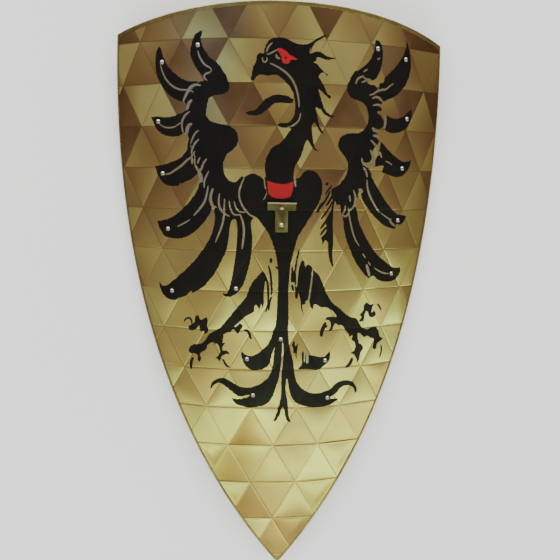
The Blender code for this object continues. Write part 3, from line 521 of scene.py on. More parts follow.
BRASS_STROKES = [
    (1.9, (-92, 557.5), (-89.5, 550.5), (-84.5, 543.7), (-79, 540.5), (-76.8, 538)),
    (1.9, (-76.8, 538), (-79.5, 535.5), (-83.3, 534.5), (-85, 531.2), (-81.6, 527.6)),
    (2.0, (-134.3, 545), (-131.5, 536.5), (-127, 529), (-120, 522.8), (-112, 519.3), (-102, 518.5), (-96.3, 516.3)),
    (2.8, (-88.5, 523), (-95, 523.7), (-100.5, 520.7), (-105, 513.3), (-108.5, 506.5)),
    (3.4, (-98, 508.7), (-101.5, 505.5), (-104, 498.5)),
    (1.7, (-137, 485), (-131, 481.6), (-125, 480.5), (-118, 481.5), (-110.5, 486)),
    (2.4, (-100.5, 497), (-106, 493), (-109.3, 487), (-109.5, 481), (-108, 475)),
    (4.0, (-98, 484.3), (-102.5, 482), (-104.7, 473)),
    (1.9, (-90.5, 478), (-94.5, 475), (-97.5, 470), (-99.8, 464)),
    (2.3, (-90.5, 469), (-95, 464.5), (-98, 458.5), (-99, 453)),
    (2.4, (-131, 431.8), (-124, 433), (-117, 437), (-110, 441.7), (-104, 447), (-99, 450.5), (-95, 456.5)),
    (2.8, (-98, 450), (-98, 443)),
    (2.4, (-94.5, 440.3), (-91, 436), (-88, 438.3), (-85.7, 444), (-82, 449)),
    (2.0, (-92.3, 443.3), (-91, 447), (-89, 450.5)),
    (4.6, (-91, 436), (-88.6, 430), (-88.3, 424)),
    (2.0, (-84.7, 418.5), (-84.5, 426), (-82, 432), (-79.7, 436.5)),
    (2.3, (-80.3, 421), (-82, 412), (-84.5, 404), (-90, 396.3), (-96.5, 389)),
    (1.7, (-100.5, 385.2), (-106, 381.5), (-115.5, 376.8)),
    (2.9, (-75, 418.5), (-77.3, 412), (-77.5, 406), (-75, 400), (-71, 398.7)),
    (2.3, (-68, 413.5), (-69, 405), (-67.5, 398), (-63, 392.5), (-57, 389.5)),
    (2.2, (-62.7, 408), (-63, 398), (-63.3, 389), (-66, 377.5), (-70, 367.5), (-72.3, 361.5)),
    (1.9, (-57.7, 406), (-56.5, 398), (-52.5, 391.7), (-46, 391.5)),
    (1.9, (-52.7, 405.5), (-50.5, 398.7), (-46.5, 394.7), (-40.5, 394.5)),
    (2.0, (-42.3, 429.7), (-46.2, 420), (-47.3, 411), (-45, 403.5), (-41, 397), (-35.5, 391.3), (-29, 388)),
    (2.4, (-46.5, 392.5), (-43.8, 386), (-42, 378), (-42, 370), (-43, 361), (-43.6, 355.5)),
    (1.2, (-22, 407.3), (-20, 410.5), (-18.6, 414.5)),
    (1.4, (-21.3, 431), (-21, 426), (-20.4, 420)),
    (2.2, (11.8, 421.5), (10.9, 426), (10.6, 433)),
    (
        2.2, (-17.5, 545.3), (-12, 543), (-6, 539.8), (0, 535.7), (5.3, 530), (9, 523.5), (11.5, 516), (12.8, 509),
        (13.3, 502.5),
    ),
    (1.7, (15.2, 497), (13.8, 490.5), (10, 486), (5, 483), (1, 482)),
    (1.7, (-25, 551), (-24.6, 547.5), (-22.3, 546), (-20.3, 548.5), (-20.7, 551)),
    (2.0, (-15, 565.3), (-19, 561.3), (-21, 556)),
    (1.7, (-21, 553.7), (-17.3, 554.7), (-13.5, 556.7), (-9.5, 559)),
    (2.4, (-11.2, 554.3), (-10.2, 551), (-7, 549.7)),
    (1.0, (24.3, 562), (22.8, 557)),
    (1.9, (1.3, 254.5), (1.6, 245), (1.2, 235), (0.3, 224), (-1, 214)),
    (1.5, (6.8, 213.5), (6.8, 207)),
    (1.7, (25.6, 240.5), (25.7, 232)),
    (2.8, (28.8, 241), (28.8, 230.5)),
    (2.0, (32.2, 334.5), (31.3, 322), (30, 310), (28.8, 302), (27.3, 296)),
    (1.6, (15.5, 346), (15.6, 338), (14, 330)),
    (1.8, (-51, 270.8), (-48, 273.2), (-44.5, 277)),
    (2.0, (98.3, 555.2), (101.7, 557.2)),
    (1.8, (82.3, 541.5), (87, 544.7)),
    (2.2, (74, 528.5), (75.3, 533), (79, 536), (83.5, 537.3)),
    (2.0, (80.3, 530.7), (84.3, 532.3), (88, 534.5), (94, 532.5)),
    (1.6, (82, 536), (86.5, 534.5)),
    (2.2, (90, 518.6), (94.5, 519.6), (99.5, 522.7), (105, 524.8), (111, 526), (116, 529.7), (120.5, 532.7)),
    (2.2, (93.7, 515), (98, 517), (103, 516.5), (107.5, 512.7)),
    (2.2, (95, 508.2), (101, 509.3), (107, 509)),
    (3.0, (111, 499.5), (112, 493), (111, 485)),
    (2.8, (95.8, 485.7), (98, 482.3), (104, 482)),
    (2.4, (96.5, 477.3), (105, 475.5)),
    (2.6, (93.8, 472.3), (98, 469.3), (102, 465), (104.7, 460), (105.5, 456)),
    (2.2, (106, 460.5), (107.7, 457.3), (109, 454)),
    (1.6, (114, 450.6), (118, 449.4), (123.5, 446.8)),
    (3.4, (94, 462), (97, 457), (99, 451), (99.5, 443)),
    (2.6, (84.2, 453.3), (85, 449), (88.7, 446.3), (93.5, 446), (99, 447)),
    (2.4, (86.3, 443.5), (89.5, 439.7), (91.8, 433)),
    (2.4, (91.3, 430.5), (92.6, 421), (96, 413), (101, 405), (106, 398.5), (109.5, 395)),
    (1.5, (111, 394.7), (116, 391.5), (122, 388.3), (126.5, 387.5)),
    (2.6, (122.5, 388), (126, 383.5), (132, 379.5)),
    (2.0, (70, 400.5), (71.7, 392), (74, 383), (77, 373), (80.8, 364.7), (85.3, 359)),
    (1.7, (89.7, 350.5), (93.5, 345.5)),
    (1.7, (97, 341.3), (100.5, 337)),
    (1.8, (105, 334.3), (112, 330.2), (119.5, 327.5), (127, 326.7)),
    (3.4, (95, 338.5), (97.3, 332), (99.5, 325)),
    (2.4, (75.5, 419.5), (78, 413), (78, 406), (76, 401), (71.5, 397)),
    (2.6, (82, 421), (84.5, 416.5), (87, 419)),
    (2.0, (71.2, 413.7), (72.5, 406.5)),
    (1.9, (66.7, 403), (66.3, 397.5), (63.7, 393)),
    (2.4, (62.8, 393.5), (66.5, 391), (70.5, 393.5), (71.5, 399)),
]
THROAT = [
    (-20.3, 431), (-19.3, 420), (-16.5, 411), (-8, 406), (3, 406), (10, 412), (10.6, 422), (9.6, 429), (-4, 427),
]
RED_SHAPES = {
    "throat_band": [
        (-18.3, 427.5, 1), (-11, 425.3), (-4, 424.2), (3, 424.8), (9.2, 427.3, 1), (9, 421), (7.8, 415),
        (6, 411, 1), (0, 409.3), (-7, 409.2), (-13, 410.7), (-16.8, 414, 1), (-17.6, 420),
    ],
    "brow": [
        (-10.4, 559.6, 1), (-7.1, 560.3), (-3.1, 558.6), (0.5, 556.4), (2.2, 554), (6.1, 552.5), (10.4, 550.1, 1),
        (9, 549.1), (5.1, 549.4), (2.9, 548.6, 1), (2.3, 545.9), (-1.8, 545), (-4.3, 546.2), (-5.6, 548.6),
        (-5.7, 551.6, 1), (-7.7, 554.6), (-9.2, 557),
    ],
}
PUPIL = [(-2.6, 551.4), (-1.4, 552.5), (-0.2, 551.3), (-0.6, 549.9), (-2.1, 549.8)]


def spread(first, last, steps):
    """Values from first to last in equal steps, both ends included."""
    return [first + (last - first) * step / steps for step in range(steps + 1)]


def on_circle(centre, radius, angle):
    return centre + radius * Vector((math.cos(angle), math.sin(angle)))


def angle_from(centre, point):
    return math.atan2(point.y - centre.y, point.x - centre.x)


def corner(inset):
    """The top right corner of the outline drawn in by inset, where its side arc meets its top arch."""
    side_radius = SIDE_RADIUS - inset
    arch_radius = ARCH_RADIUS - inset
    between = ARCH_CENTRE - SIDE_CENTRE
    length = between.length
    forward = (side_radius**2 - arch_radius**2 + length**2) / (2 * length)
    aside = math.sqrt(side_radius**2 - forward**2)
    along = between / length
    return SIDE_CENTRE + forward * along + aside * Vector((-along.y, along.x))


def tip_points(inset, steps):
    angles = spread(-math.pi / 2, angle_from(SIDE_CENTRE, TIP_CENTRE), steps)
    return [on_circle(TIP_CENTRE, TIP_RADIUS - inset, a) for a in angles[:-1]]


def side_points(inset, steps, trim=0.0):
    radius = SIDE_RADIUS - inset
    start = angle_from(SIDE_CENTRE, TIP_CENTRE)
    end = angle_from(SIDE_CENTRE, corner(inset)) - trim / radius
    return [on_circle(SIDE_CENTRE, radius, a) for a in spread(start, end, steps)]


def arch_points(inset, steps, trim=0.0):
    radius = ARCH_RADIUS - inset
    start = angle_from(ARCH_CENTRE, corner(inset)) + trim / radius
    return [on_circle(ARCH_CENTRE, radius, a) for a in spread(start, math.pi - start, steps)]


def outline(inset):
    """The whole outline drawn in by inset, anticlockwise from the tip."""
    right = tip_points(inset, RIM_TIP_STEPS) + side_points(inset, RIM_SIDE_STEPS)
    left = [Vector((-point.x, point.y)) for point in reversed(right[1:])]
    return right[:-1] + arch_points(inset, RIM_ARCH_STEPS) + left[1:]


def bent(across, along, out):
    """Where a flat place goes on the bent, lying shield. It takes numbers or arrays."""
    angle = np.asarray(across) / BEND_RADIUS
    radius = BEND_RADIUS + np.asarray(out)
    flat = np.stack(np.broadcast_arrays(radius * np.sin(angle), along, radius * np.cos(angle) - BEND_RADIUS), -1)
    turn = np.array(LYING.to_3x3())
    return flat @ turn.T + np.array(LYING.translation)


def bent_directions(across):
    """The directions across, along and out at places on the bent, lying shield."""
    angle = np.asarray(across) / BEND_RADIUS
    zero = np.zeros_like(angle)
    turn = np.array(LYING.to_3x3()).T
    sideways = np.stack((np.cos(angle), zero, -np.sin(angle)), -1) @ turn
    lengthways = np.stack((zero, zero + 1, zero), -1) @ turn
    outwards = np.stack((np.sin(angle), zero, np.cos(angle)), -1) @ turn
    return sideways, lengthways, outwards


def crease_offsets(across, along):
    """The offsets of places from the first crease of each of the three families of parallel creases."""
    offsets = []
    for sixth in range(3):
        angle = LATTICE_TURN + sixth * math.pi / 3
        offsets.append((along - LATTICE_ALONG) * math.cos(angle) - (across - LATTICE_ACROSS) * math.sin(angle))
    return np.stack(offsets, -1)


def facet_numbers(offsets):
    """A number for the triangle that each place is in."""
    bands = np.floor(offsets / TRIANGLE_HEIGHT + BAND_MARGIN).astype(np.int64) + FACET_BANDS // 2
    return (bands[..., 0] * FACET_BANDS + bands[..., 1]) * FACET_BANDS + bands[..., 2]


def facet_draws(numbers, salt):
    """An even random value from 0 to 1 for each triangle, the same for every place in it."""
    mask = np.uint64(DRAW_MASK)
    mixed = (numbers.astype(np.uint64) * np.uint64(DRAW_PRIME) + np.uint64(salt * DRAW_SALT)) & mask
    for shift, prime in DRAW_ROUNDS:
        mixed ^= mixed >> np.uint64(shift)
        mixed = (mixed * np.uint64(prime)) & mask
    return mixed.astype(np.float64) / DRAW_MASK


def smooth(share):
    share = np.clip(share, 0, 1)
    return share * share * (3 - 2 * share)


def lip_distance(across, along):
    """How far places on the face are inside the lips of the edging, and below zero under them."""
    side = SIDE_RADIUS - EDGING_SIDE_LIP - np.hypot(np.abs(across) - SIDE_CENTRE.x, along)
    top = ARCH_RADIUS - EDGING_TOP_LIP - np.hypot(across, along - ARCH_CENTRE.y)
    return np.minimum(side, top)


def relief(across, along):
    """The height of the embossing, how near each place is to the creases of each family, and the triangles' numbers.

    A rounded crease runs round each triangle. A low dome or dip, as it came out, fills it, and is pressed flat
    along the edging.
    """
    offsets = crease_offsets(across, along)
    shares = offsets / TRIANGLE_HEIGHT
    within = shares - np.floor(shares)
    apart = np.minimum(within, 1 - within) * TRIANGLE_HEIGHT
    # In an upright triangle the three shares run from its sides inwards, with the middle one turned round
    sides = np.stack((within[..., 0], 1 - within[..., 1], within[..., 2]), -1)
    sides = np.where((sides.sum(-1) < 1.5)[..., None], sides, 1 - sides)
    # In the middle each share is a third, so that 27 times their product is 1
    dome = np.clip(27 * sides.prod(-1), 0, 1)
    numbers = facet_numbers(offsets)
    rise = LEAST_RISE + (MOST_RISE - LEAST_RISE) * facet_draws(numbers, RISE_DRAW)
    groove = CREASE_GROOVE * np.exp(-((apart.min(-1) / CREASE_SPREAD) ** 2))
    pressed = smooth(lip_distance(across, along) / LIP_PRESS)
    height = CREASE_DEPTH - groove + pressed * rise * dome
    return np.clip(height, 0, RELIEF_TOP), apart, numbers


def relief_normals(across, along):
    """The directions square to the embossing, from its slopes."""
    step = SLOPE_STEP
    sideways, lengthways, outwards = bent_directions(across)
    rise_across = (relief(across + step, along)[0] - relief(across - step, along)[0]) / (2 * step)
    rise_along = (relief(across, along + step)[0] - relief(across, along - step)[0]) / (2 * step)
    normals = outwards - rise_across[:, None] * sideways - rise_along[:, None] * lengthways
    return normals / np.linalg.norm(normals, axis=1)[:, None]


def smooth_run(points, closed):
    """A smooth curve through the points of one run, in steps of about CURVE_STEP."""
    count = len(points)
    curve = []
    for i in range(count if closed else count - 1):
        p1, p2 = points[i], points[(i + 1) % count]
        p0 = points[i - 1] if closed or i > 0 else p1
        p3 = points[(i + 2) % count] if closed or i + 2 < count else p2
        steps = max(1, round(math.dist(p1, p2) / CURVE_STEP))
        for step in range(steps):
            t = step / steps
            curve.append(tuple(
                (2 * b + (c - a) * t + (2 * a - 5 * b + 4 * c - d) * t**2 + (3 * b - a - 3 * c + d) * t**3) / 2
                for a, b, c, d in zip(p0, p1, p2, p3)
            ))
    if not closed:
        curve.append(points[-1])
    return curve


def closed_outline(points):
    """A closed outline of smooth runs between its sharp points."""
    sharp = [i for i, point in enumerate(points) if len(point) > 2]
    flat = [point[:2] for point in points]
    if not sharp:
        return smooth_run(flat, True)
    curve = []
    for first, last in zip(sharp, sharp[1:] + [sharp[0] + len(points)]):
        run = [flat[i % len(flat)] for i in range(first, last + 1)]
        curve += smooth_run(run, False)[:-1]
    return curve


def stroke_outline(width, points):
    """The outline of a brush stroke along a line, widest in its middle."""
    line = smooth_run(points, False)
    left, right = [], []
    for i, (x, y) in enumerate(line):
        before, after = line[max(i - 1, 0)], line[min(i + 1, len(line) - 1)]
        share = i / (len(line) - 1)
        swell = STROKE_END + (1 - STROKE_END) * math.sqrt(max(0.0, 1 - (2 * share - 1) ** 2))
        reach = width / 2 * swell / math.dist(before, after)
        aside = (-(after[1] - before[1]) * reach, (after[0] - before[0]) * reach)
        left.append((x + aside[0], y + aside[1]))
        right.append((x - aside[0], y - aside[1]))
    return left + right[::-1]


def brushed(curve):
    """A drawn outline with the small unevenness that a brush leaves."""
    wavering = []
    for x, y in curve:
        strays = [BRUSH_WAVER * math.sin(across * x + along * y) for across, along in BRUSH_WAVES]
        wavering.append((x + strays[0], y + strays[1]))
    return wavering


def on_face(curve):
    """A drawn curve in metres across and along the face."""
    return np.array([(x * MM, (y - DRAWING_FOOT) * MM) for x, y in curve])


def painted_outlines():
    """The outlines of the painting with the paint in each, in the order they are laid on."""
    laid = [(BLACK, brushed(closed_outline(points))) for points in (THROAT, *EAGLE_SHAPES.values())]
    laid += [(BLACK, stroke_outline(width, points)) for width, *points in BLACK_STROKES]
    laid += [(SCRAPED, stroke_outline(width, points)) for width, *points in BRASS_STROKES]
    laid += [(RED, closed_outline(points)) for points in RED_SHAPES.values()]
    laid.append((BLACK, closed_outline(PUPIL)))
    return [(paint, on_face(curve)) for paint, curve in laid]


def inside(points, curve):
    """Which of the points are inside a closed curve."""
    found = np.zeros(len(points), bool)
    low, high = curve.min(0), curve.max(0)
    near = np.flatnonzero(((points > low) & (points < high)).all(1))
    if not len(near):
        return found
    x, y = points[near, 0][:, None], points[near, 1][:, None]
    x1, y1 = curve.T
    x2, y2 = np.roll(curve, -1, axis=0).T
    crosses = (y1 > y) != (y2 > y)
    rise = np.where(y2 == y1, 1, y2 - y1)
    found[near] = (crosses & (x < (x2 - x1) * (y - y1) / rise + x1)).sum(1) % 2 == 1
    return found


def crease_lines(reach):
    """Long straight lines along the bottom and both slopes of every crease."""
    lines = []
    rows = math.ceil(reach / TRIANGLE_HEIGHT)
    for sixth in range(3):
        angle = LATTICE_TURN + sixth * math.pi / 3
        run = np.array((math.cos(angle), math.sin(angle)))
        step = np.array((-math.sin(angle), math.cos(angle)))
        for row in range(-rows, rows + 1):
            for place in CREASE_LINES:
                offset = row * TRIANGLE_HEIGHT + place * CREASE_SPREAD
                middle = np.array((LATTICE_ACROSS, LATTICE_ALONG)) + step * offset
                lines.append((middle - run * reach, middle + run * reach))
    return lines


def clip(line, low, high):
    """The stretch of a line inside a box, or nothing."""
    start, end = line
    first, last = 0.0, 1.0
    for axis in range(2):
        way = end[axis] - start[axis]
        if abs(way) < LEAST_SLOPE:
            if not low[axis] <= start[axis] <= high[axis]:
                return None
            continue
        shares = sorted(((low[axis] - start[axis]) / way, (high[axis] - start[axis]) / way))
        first, last = max(first, shares[0]), min(last, shares[1])
    if first >= last:
        return None
    return start + (end - start) * first, start + (end - start) * last


def grid_points(low, high, spacing):
    """Places in offset rows, spacing apart."""
    rows = np.arange(low[1], high[1], spacing * math.sqrt(3) / 2)
    columns = np.arange(low[0], high[0], spacing)
    return np.array([(x + (row % 2) * spacing / 2, y) for row, y in enumerate(rows) for x in columns])


def triangulate(rim, loops, lines, extra):
    """Flat triangles inside the rim, cut along every loop and line."""
    points = []
    edges = []
    for loop in [rim, *loops]:
        first = len(points)
        points += [tuple(point) for point in loop]
        edges += [(first + i, first + (i + 1) % len(loop)) for i in range(len(loop))]
    for start, end in lines:
        first = len(points)
        points += [tuple(start), tuple(end)]
        edges.append((first, first + 1))
    points += [tuple(point) for point in extra]
    scaled = [Vector((x / MM, y / MM)) for x, y in points]
    verts, _, faces, *_ = delaunay_2d_cdt(scaled, edges, [], 0, CUT_TOLERANCE)
    flat = np.array([tuple(vert) for vert in verts]) * MM
    faces = np.array(faces)
    keep = inside(flat[faces].mean(1), rim)
    faces = faces[keep]
    used = np.unique(faces)
    renumber = np.zeros(len(flat), int)
    renumber[used] = np.arange(len(used))
    return flat[used], renumber[faces]


def rim_edges(faces):
    """The edges that only one triangle has, in that triangle's direction."""
    directed = {(int(a), int(b)) for face in faces for a, b in zip(face, np.roll(face, -1))}
    return [(a, b) for a, b in directed if (b, a) not in directed]


def plate_mesh(name, flat, faces, front, back):
    """A closed bent plate of flat triangles, between a level for each place and one level behind."""
    count = len(flat)
    levels = np.broadcast_to(front, count)
    verts = np.concatenate((bent(flat[:, 0], flat[:, 1], levels), bent(flat[:, 0], flat[:, 1], back)))
    walls = [(b, a, a + count, b + count) for a, b in rim_edges(faces)]
    behind = faces[:, ::-1] + count
    mesh = bpy.data.meshes.new(name)
    mesh.from_pydata(verts.tolist(), [], faces.tolist() + behind.tolist() + walls)
    mesh.validate()
    return mesh


def anticlockwise(flat, faces):
    """The triangles all turned one way, without those that have no area."""
    a, b, c = flat[faces[:, 0]], flat[faces[:, 1]], flat[faces[:, 2]]
    area = (b[:, 0] - a[:, 0]) * (c[:, 1] - a[:, 1]) - (b[:, 1] - a[:, 1]) * (c[:, 0] - a[:, 0])
    turned = np.where((area < 0)[:, None], faces[:, ::-1], faces)
    return turned[np.abs(area) > LEAST_AREA]


def plate_faces(spacing, margin=0.0, loops=(), lines=()):
    """Flat triangles inside the rim of the sheet and the board, with points in a grid over the rim and its margin."""
    rim = np.array([tuple(point) for point in outline(RIM_INSET)])
    low, high = rim.min(0) - margin, rim.max(0) + margin
    stretches = [clip(line, low, high) for line in lines]
    cuts = [stretch for stretch in stretches if stretch]
    flat, faces = triangulate(rim, loops, cuts, grid_points(low, high, spacing))
    return flat, anticlockwise(flat, faces)


class NodeTree:
    """A tree of nodes being built, for a material or for the surroundings."""

    def __init__(self, tree, coordinates):
        self.nodes = tree.nodes
        self.links = tree.links
        self.place = self.add("TexCoord", {}).outputs[coordinates]

    def feed(self, socket, value):
        if isinstance(value, bpy.types.NodeSocket):
            self.links.new(value, socket)
        else:
            socket.default_value = (*value, 1) if socket.type == "RGBA" else value

    def add(self, kind, inputs, **settings):
        node = self.nodes.new("ShaderNode" + kind)
        for name, value in settings.items():
            setattr(node, name, value)
        for socket, value in inputs.items():
            self.feed(node.inputs[socket], value)
        return node

    def stretched(self, scale):
        return self.add("Mapping", {"Scale": scale, "Vector": self.place}).outputs["Vector"]

    def noise(self, scale, detail=3.0, roughness=0.5, distortion=0.0, vector=None):
        amounts = {"Scale": scale, "Detail": detail, "Roughness": roughness, "Distortion": distortion}
        return self.add("TexNoise", {**amounts, "Vector": vector or self.place}).outputs["Fac"]

    def attribute(self, name):
        return self.add("Attribute", {}, attribute_name=name).outputs["Fac"]

    def span(self, value, low, high, to_low=0.0, to_high=1.0):
        """A value carried from one range to another, and held inside it."""
        limits = {"From Min": low, "From Max": high, "To Min": to_low, "To Max": to_high}
        return self.add("MapRange", {"Value": value, **limits}).outputs["Result"]

    def math(self, operation, *values):
        return self.add("Math", dict(enumerate(values)), operation=operation).outputs[0]

    def ramp(self, value, *stops):
        node = self.add("ValToRGB", {"Fac": value})
        elements = node.color_ramp.elements
        while len(elements) < len(stops):
            elements.new(0.5)
        for element, (position, colour) in zip(elements, stops):
            element.position = position
            element.color = (*colour, 1)
        return node.outputs["Color"]

    def mix(self, share, a, b, blend="MIX"):
        return self.add("Mix", {0: share, 6: a, 7: b}, data_type="RGBA", blend_type=blend).outputs[2]


class Shader(NodeTree):
    """A material being built."""

    def __init__(self, name, **values):
        self.material = bpy.data.materials.new(name)
        self.material.use_nodes = True
        super().__init__(self.material.node_tree, "Object")
        self.surface = self.nodes["Principled BSDF"]
        for socket, value in values.items():
            self.surface.inputs[socket.replace("_", " ")].default_value = value

    def bump(self, height, strength, distance):
        """A bump on top of those that the surface has."""
        node = self.add("Bump", {"Strength": strength, "Distance": distance, "Height": height})
        normal = self.surface.inputs["Normal"]
        if normal.links:
            self.links.new(normal.links[0].from_socket, node.inputs["Normal"])
        self.links.new(node.outputs["Normal"], normal)

    def colour(self, value):
        self.feed(self.surface.inputs["Base Color"], value)

    def roughness(self, value):
        self.feed(self.surface.inputs["Roughness"], value)


def face_brass():
    """Polished brass sheet. Each triangle has a tone of its own, partly painted reflection and shade, and patina and
    painted shade darken the creases.
    """
    shader = Shader("face_brass", Metallic=1.0)
    # Ramp from dark brown to pale yellow: the brass's tone, with painted reflection and painted shade in its spread
    tone = shader.ramp(
        shader.attribute("facet_tone_and_reflection"),
        (0.0, (0.26, 0.150, 0.068)),
        (0.32, (0.44, 0.295, 0.115)),
        (0.63, (0.63, 0.51, 0.17)),
        (PALEST_TONE, (0.88, 0.86, 0.29)),
        (SCRAPED_TONE, (0.54, 0.51, 0.34)),
    )
    cloud = shader.noise(14.0, detail=4.0, roughness=0.6)
    tone = shader.mix(shader.span(cloud, 0.4, 0.65, 0.0, 0.28), tone, (0.56, 0.43, 0.22))
    # Patina and painted shade: the creases darkened towards dark brown
    tone = shader.mix(shader.attribute("crease"), tone, (0.14, 0.085, 0.025))
    shader.colour(tone)
    streaks = shader.noise(60.0, detail=4.0, vector=shader.stretched((7.0, 0.5, 7.0)))
    smudges = shader.noise(22.0)
    rough = shader.math("ADD", shader.span(smudges, 0.3, 0.7, 0.18, 0.26), shader.span(streaks, 0.3, 0.7, 0.0, 0.02))
    shader.roughness(rough)
    shader.bump(shader.noise(24.0, detail=1.0), 0.22, 0.0012)
    return shader.material


def paint(name, colour, worn, roughness):
    """Enamel paint laid with a brush: slightly uneven in depth and gloss."""
    shader = Shader(name, Metallic=0.0, Specular_IOR_Level=0.16, Coat_Weight=0.12, Coat_Roughness=0.16)
    cloud = shader.noise(26.0, detail=5.0, roughness=0.65)
    shader.colour(shader.mix(shader.span(cloud, 0.35, 0.75), colour, worn))
    brush = shader.noise(90.0, vector=shader.stretched((3.0, 0.6, 3.0)))
    shader.roughness(shader.span(brush, 0.3, 0.7, roughness, roughness + 0.16))
    shader.bump(brush, 0.12, 0.0004)
    return shader.material


def strip_brass(name, bright, dull, shine, ledge_highlight=None):
    """Brass strip, bright in places and dull in others. ledge_highlight, when given, is the colour of a painted
    highlight where the attribute of that name is set.
    """
    shader = Shader(name, Metallic=1.0)
    patches = shader.noise(48.0, detail=5.0, roughness=0.65)
    specks = shader.noise(420.0, detail=2.0)
    tone = shader.mix(shader.span(patches, 0.35, 0.68), bright, dull)
    # Painted highlight along the bracket's ledge
    if ledge_highlight:
        tone = shader.mix(shader.attribute("ledge_highlight"), tone, ledge_highlight)
    shader.colour(shader.mix(shader.span(specks, 0.62, 0.75, 0.0, 0.45), tone, (0.10, 0.07, 0.03)))
    shader.roughness(shader.span(patches, 0.3, 0.7, shine, shine + 0.2))
    shader.bump(shader.noise(160.0), 0.2, 0.0006)
    return shader.material


def nail_metal(name, bright, dull):
    shader = Shader(name, Metallic=1.0)
    patches = shader.noise(330.0, detail=2.0)
    shader.colour(shader.mix(shader.span(patches, 0.4, 0.8, 0.0, 0.4), bright, dull))
    shader.roughness(shader.span(patches, 0.3, 0.7, 0.16, 0.24))
    return shader.material


def board_wood():
    """Bare wood with its grain along the shield."""
    shader = Shader("board_wood", Metallic=0.0)
    along_grain = shader.stretched((16.0, 0.9, 16.0))
    grain = shader.noise(9.0, detail=8.0, roughness=0.62, distortion=0.7, vector=along_grain)
    pores = shader.noise(46.0, vector=shader.stretched((24.0, 1.4, 24.0)))
    wash = shader.noise(4.5, detail=2.0)
    wood = shader.ramp(
        grain,
        (0.25, (0.20, 0.105, 0.042)),
        (0.45, (0.40, 0.235, 0.105)),
        (0.6, (0.52, 0.33, 0.16)),
        (0.8, (0.33, 0.185, 0.078)),
    )
    wood = shader.mix(shader.span(pores, 0.58, 0.72, 0.0, 0.6), wood, (0.10, 0.05, 0.02))
    wood = shader.mix(shader.span(wash, 0.35, 0.65, 0.0, 0.35), wood, (0.30, 0.17, 0.075))
    shader.colour(wood)
    shader.roughness(shader.span(grain, 0.3, 0.7, 0.5, 0.68))
    shader.bump(grain, 0.35, 0.0008)
    shader.bump(pores, 0.3, 0.0004)
    return shader.material


def new_object(name, data):
    obj = bpy.data.objects.new(name, data)
    bpy.context.scene.collection.objects.link(obj)
    return obj


def add_piece(node, mesh):
    """The piece of a mesh, in the place of a solid."""
    obj = new_object(node + "_fine", mesh)
    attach(obj, "root")
    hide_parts(node)


def add_plain_piece(node, mesh, material):
    """A piece of one material, smooth but for its sharp edges."""
    mesh.materials.append(material)
    mesh.shade_smooth()
    mesh.set_sharp_from_angle(angle=SHARP_ANGLE)
    add_piece(node, mesh)


def store(mesh, name, domain, values):
    mesh.attributes.new(name, "FLOAT", domain).data.foreach_set("value", values)


def facet_tones(corners, middles, numbers):
    """How pale each triangle is at the corners of its faces.

    This is by chance, partly a painted reflection of tilted triangles, with a painted shade off to one side, and it
    is paler and more alike towards the foot as painted reflection.
    """
    bands = np.floor(crease_offsets(middles[:, 0], middles[:, 1]) / TRIANGLE_HEIGHT)
    within = crease_offsets(corners[..., 0], corners[..., 1]) / TRIANGLE_HEIGHT - bands[:, None]
    turns = np.stack([facet_draws(numbers, salt) - 0.5 for salt in SHADE_DRAWS], -1)
    # Painted shade across each triangle, its chance tone, partly a painted reflection, and a painted reflection that
    # pales them towards the foot
    shade = TONE_SHADE * ((within - 0.5) * turns[:, None]).sum(-1)
    own = TONE_SPREAD * (facet_draws(numbers, TONE_DRAW) - 0.5)[:, None]
    foot = smooth(-corners[..., 1] / FOOT_REFLECTION_REACH)
    tones = TONE_MIDDLE + FOOT_REFLECTION_RISE * foot + (1 - FOOT_REFLECTION_CALM * foot) * (own + shade)
    return np.clip(tones, 0, PALEST_TONE)


def facet_tilts(middles, numbers):
    """The small hand-made tilt of each triangle, as something to add to its normals."""
    sideways, lengthways, _ = bent_directions(middles[:, 0])
    aside = FACET_TILT * (facet_draws(numbers, ASIDE_DRAW) - 0.5)
    ahead = FACET_TILT * (facet_draws(numbers, AHEAD_DRAW) - 0.5)
    return aside[:, None] * sideways + ahead[:, None] * lengthways


def crease_tarnish_and_shade(along, apart):
    """How darkened the creases are at places on the sheet, by patina and painted shade, each family of them more or
    less towards the foot.
    """
    foot = smooth(0.5 - along / FACE_LENGTH)[:, None]
    at_top, at_foot = np.array(CREASE_TARNISH_AND_SHADE)
    tarnish_and_shade = at_top * (1 - foot) + at_foot * foot
    return (tarnish_and_shade * np.exp(-((apart / CREASE_DARKENING_REACH) ** 2))).max(-1)


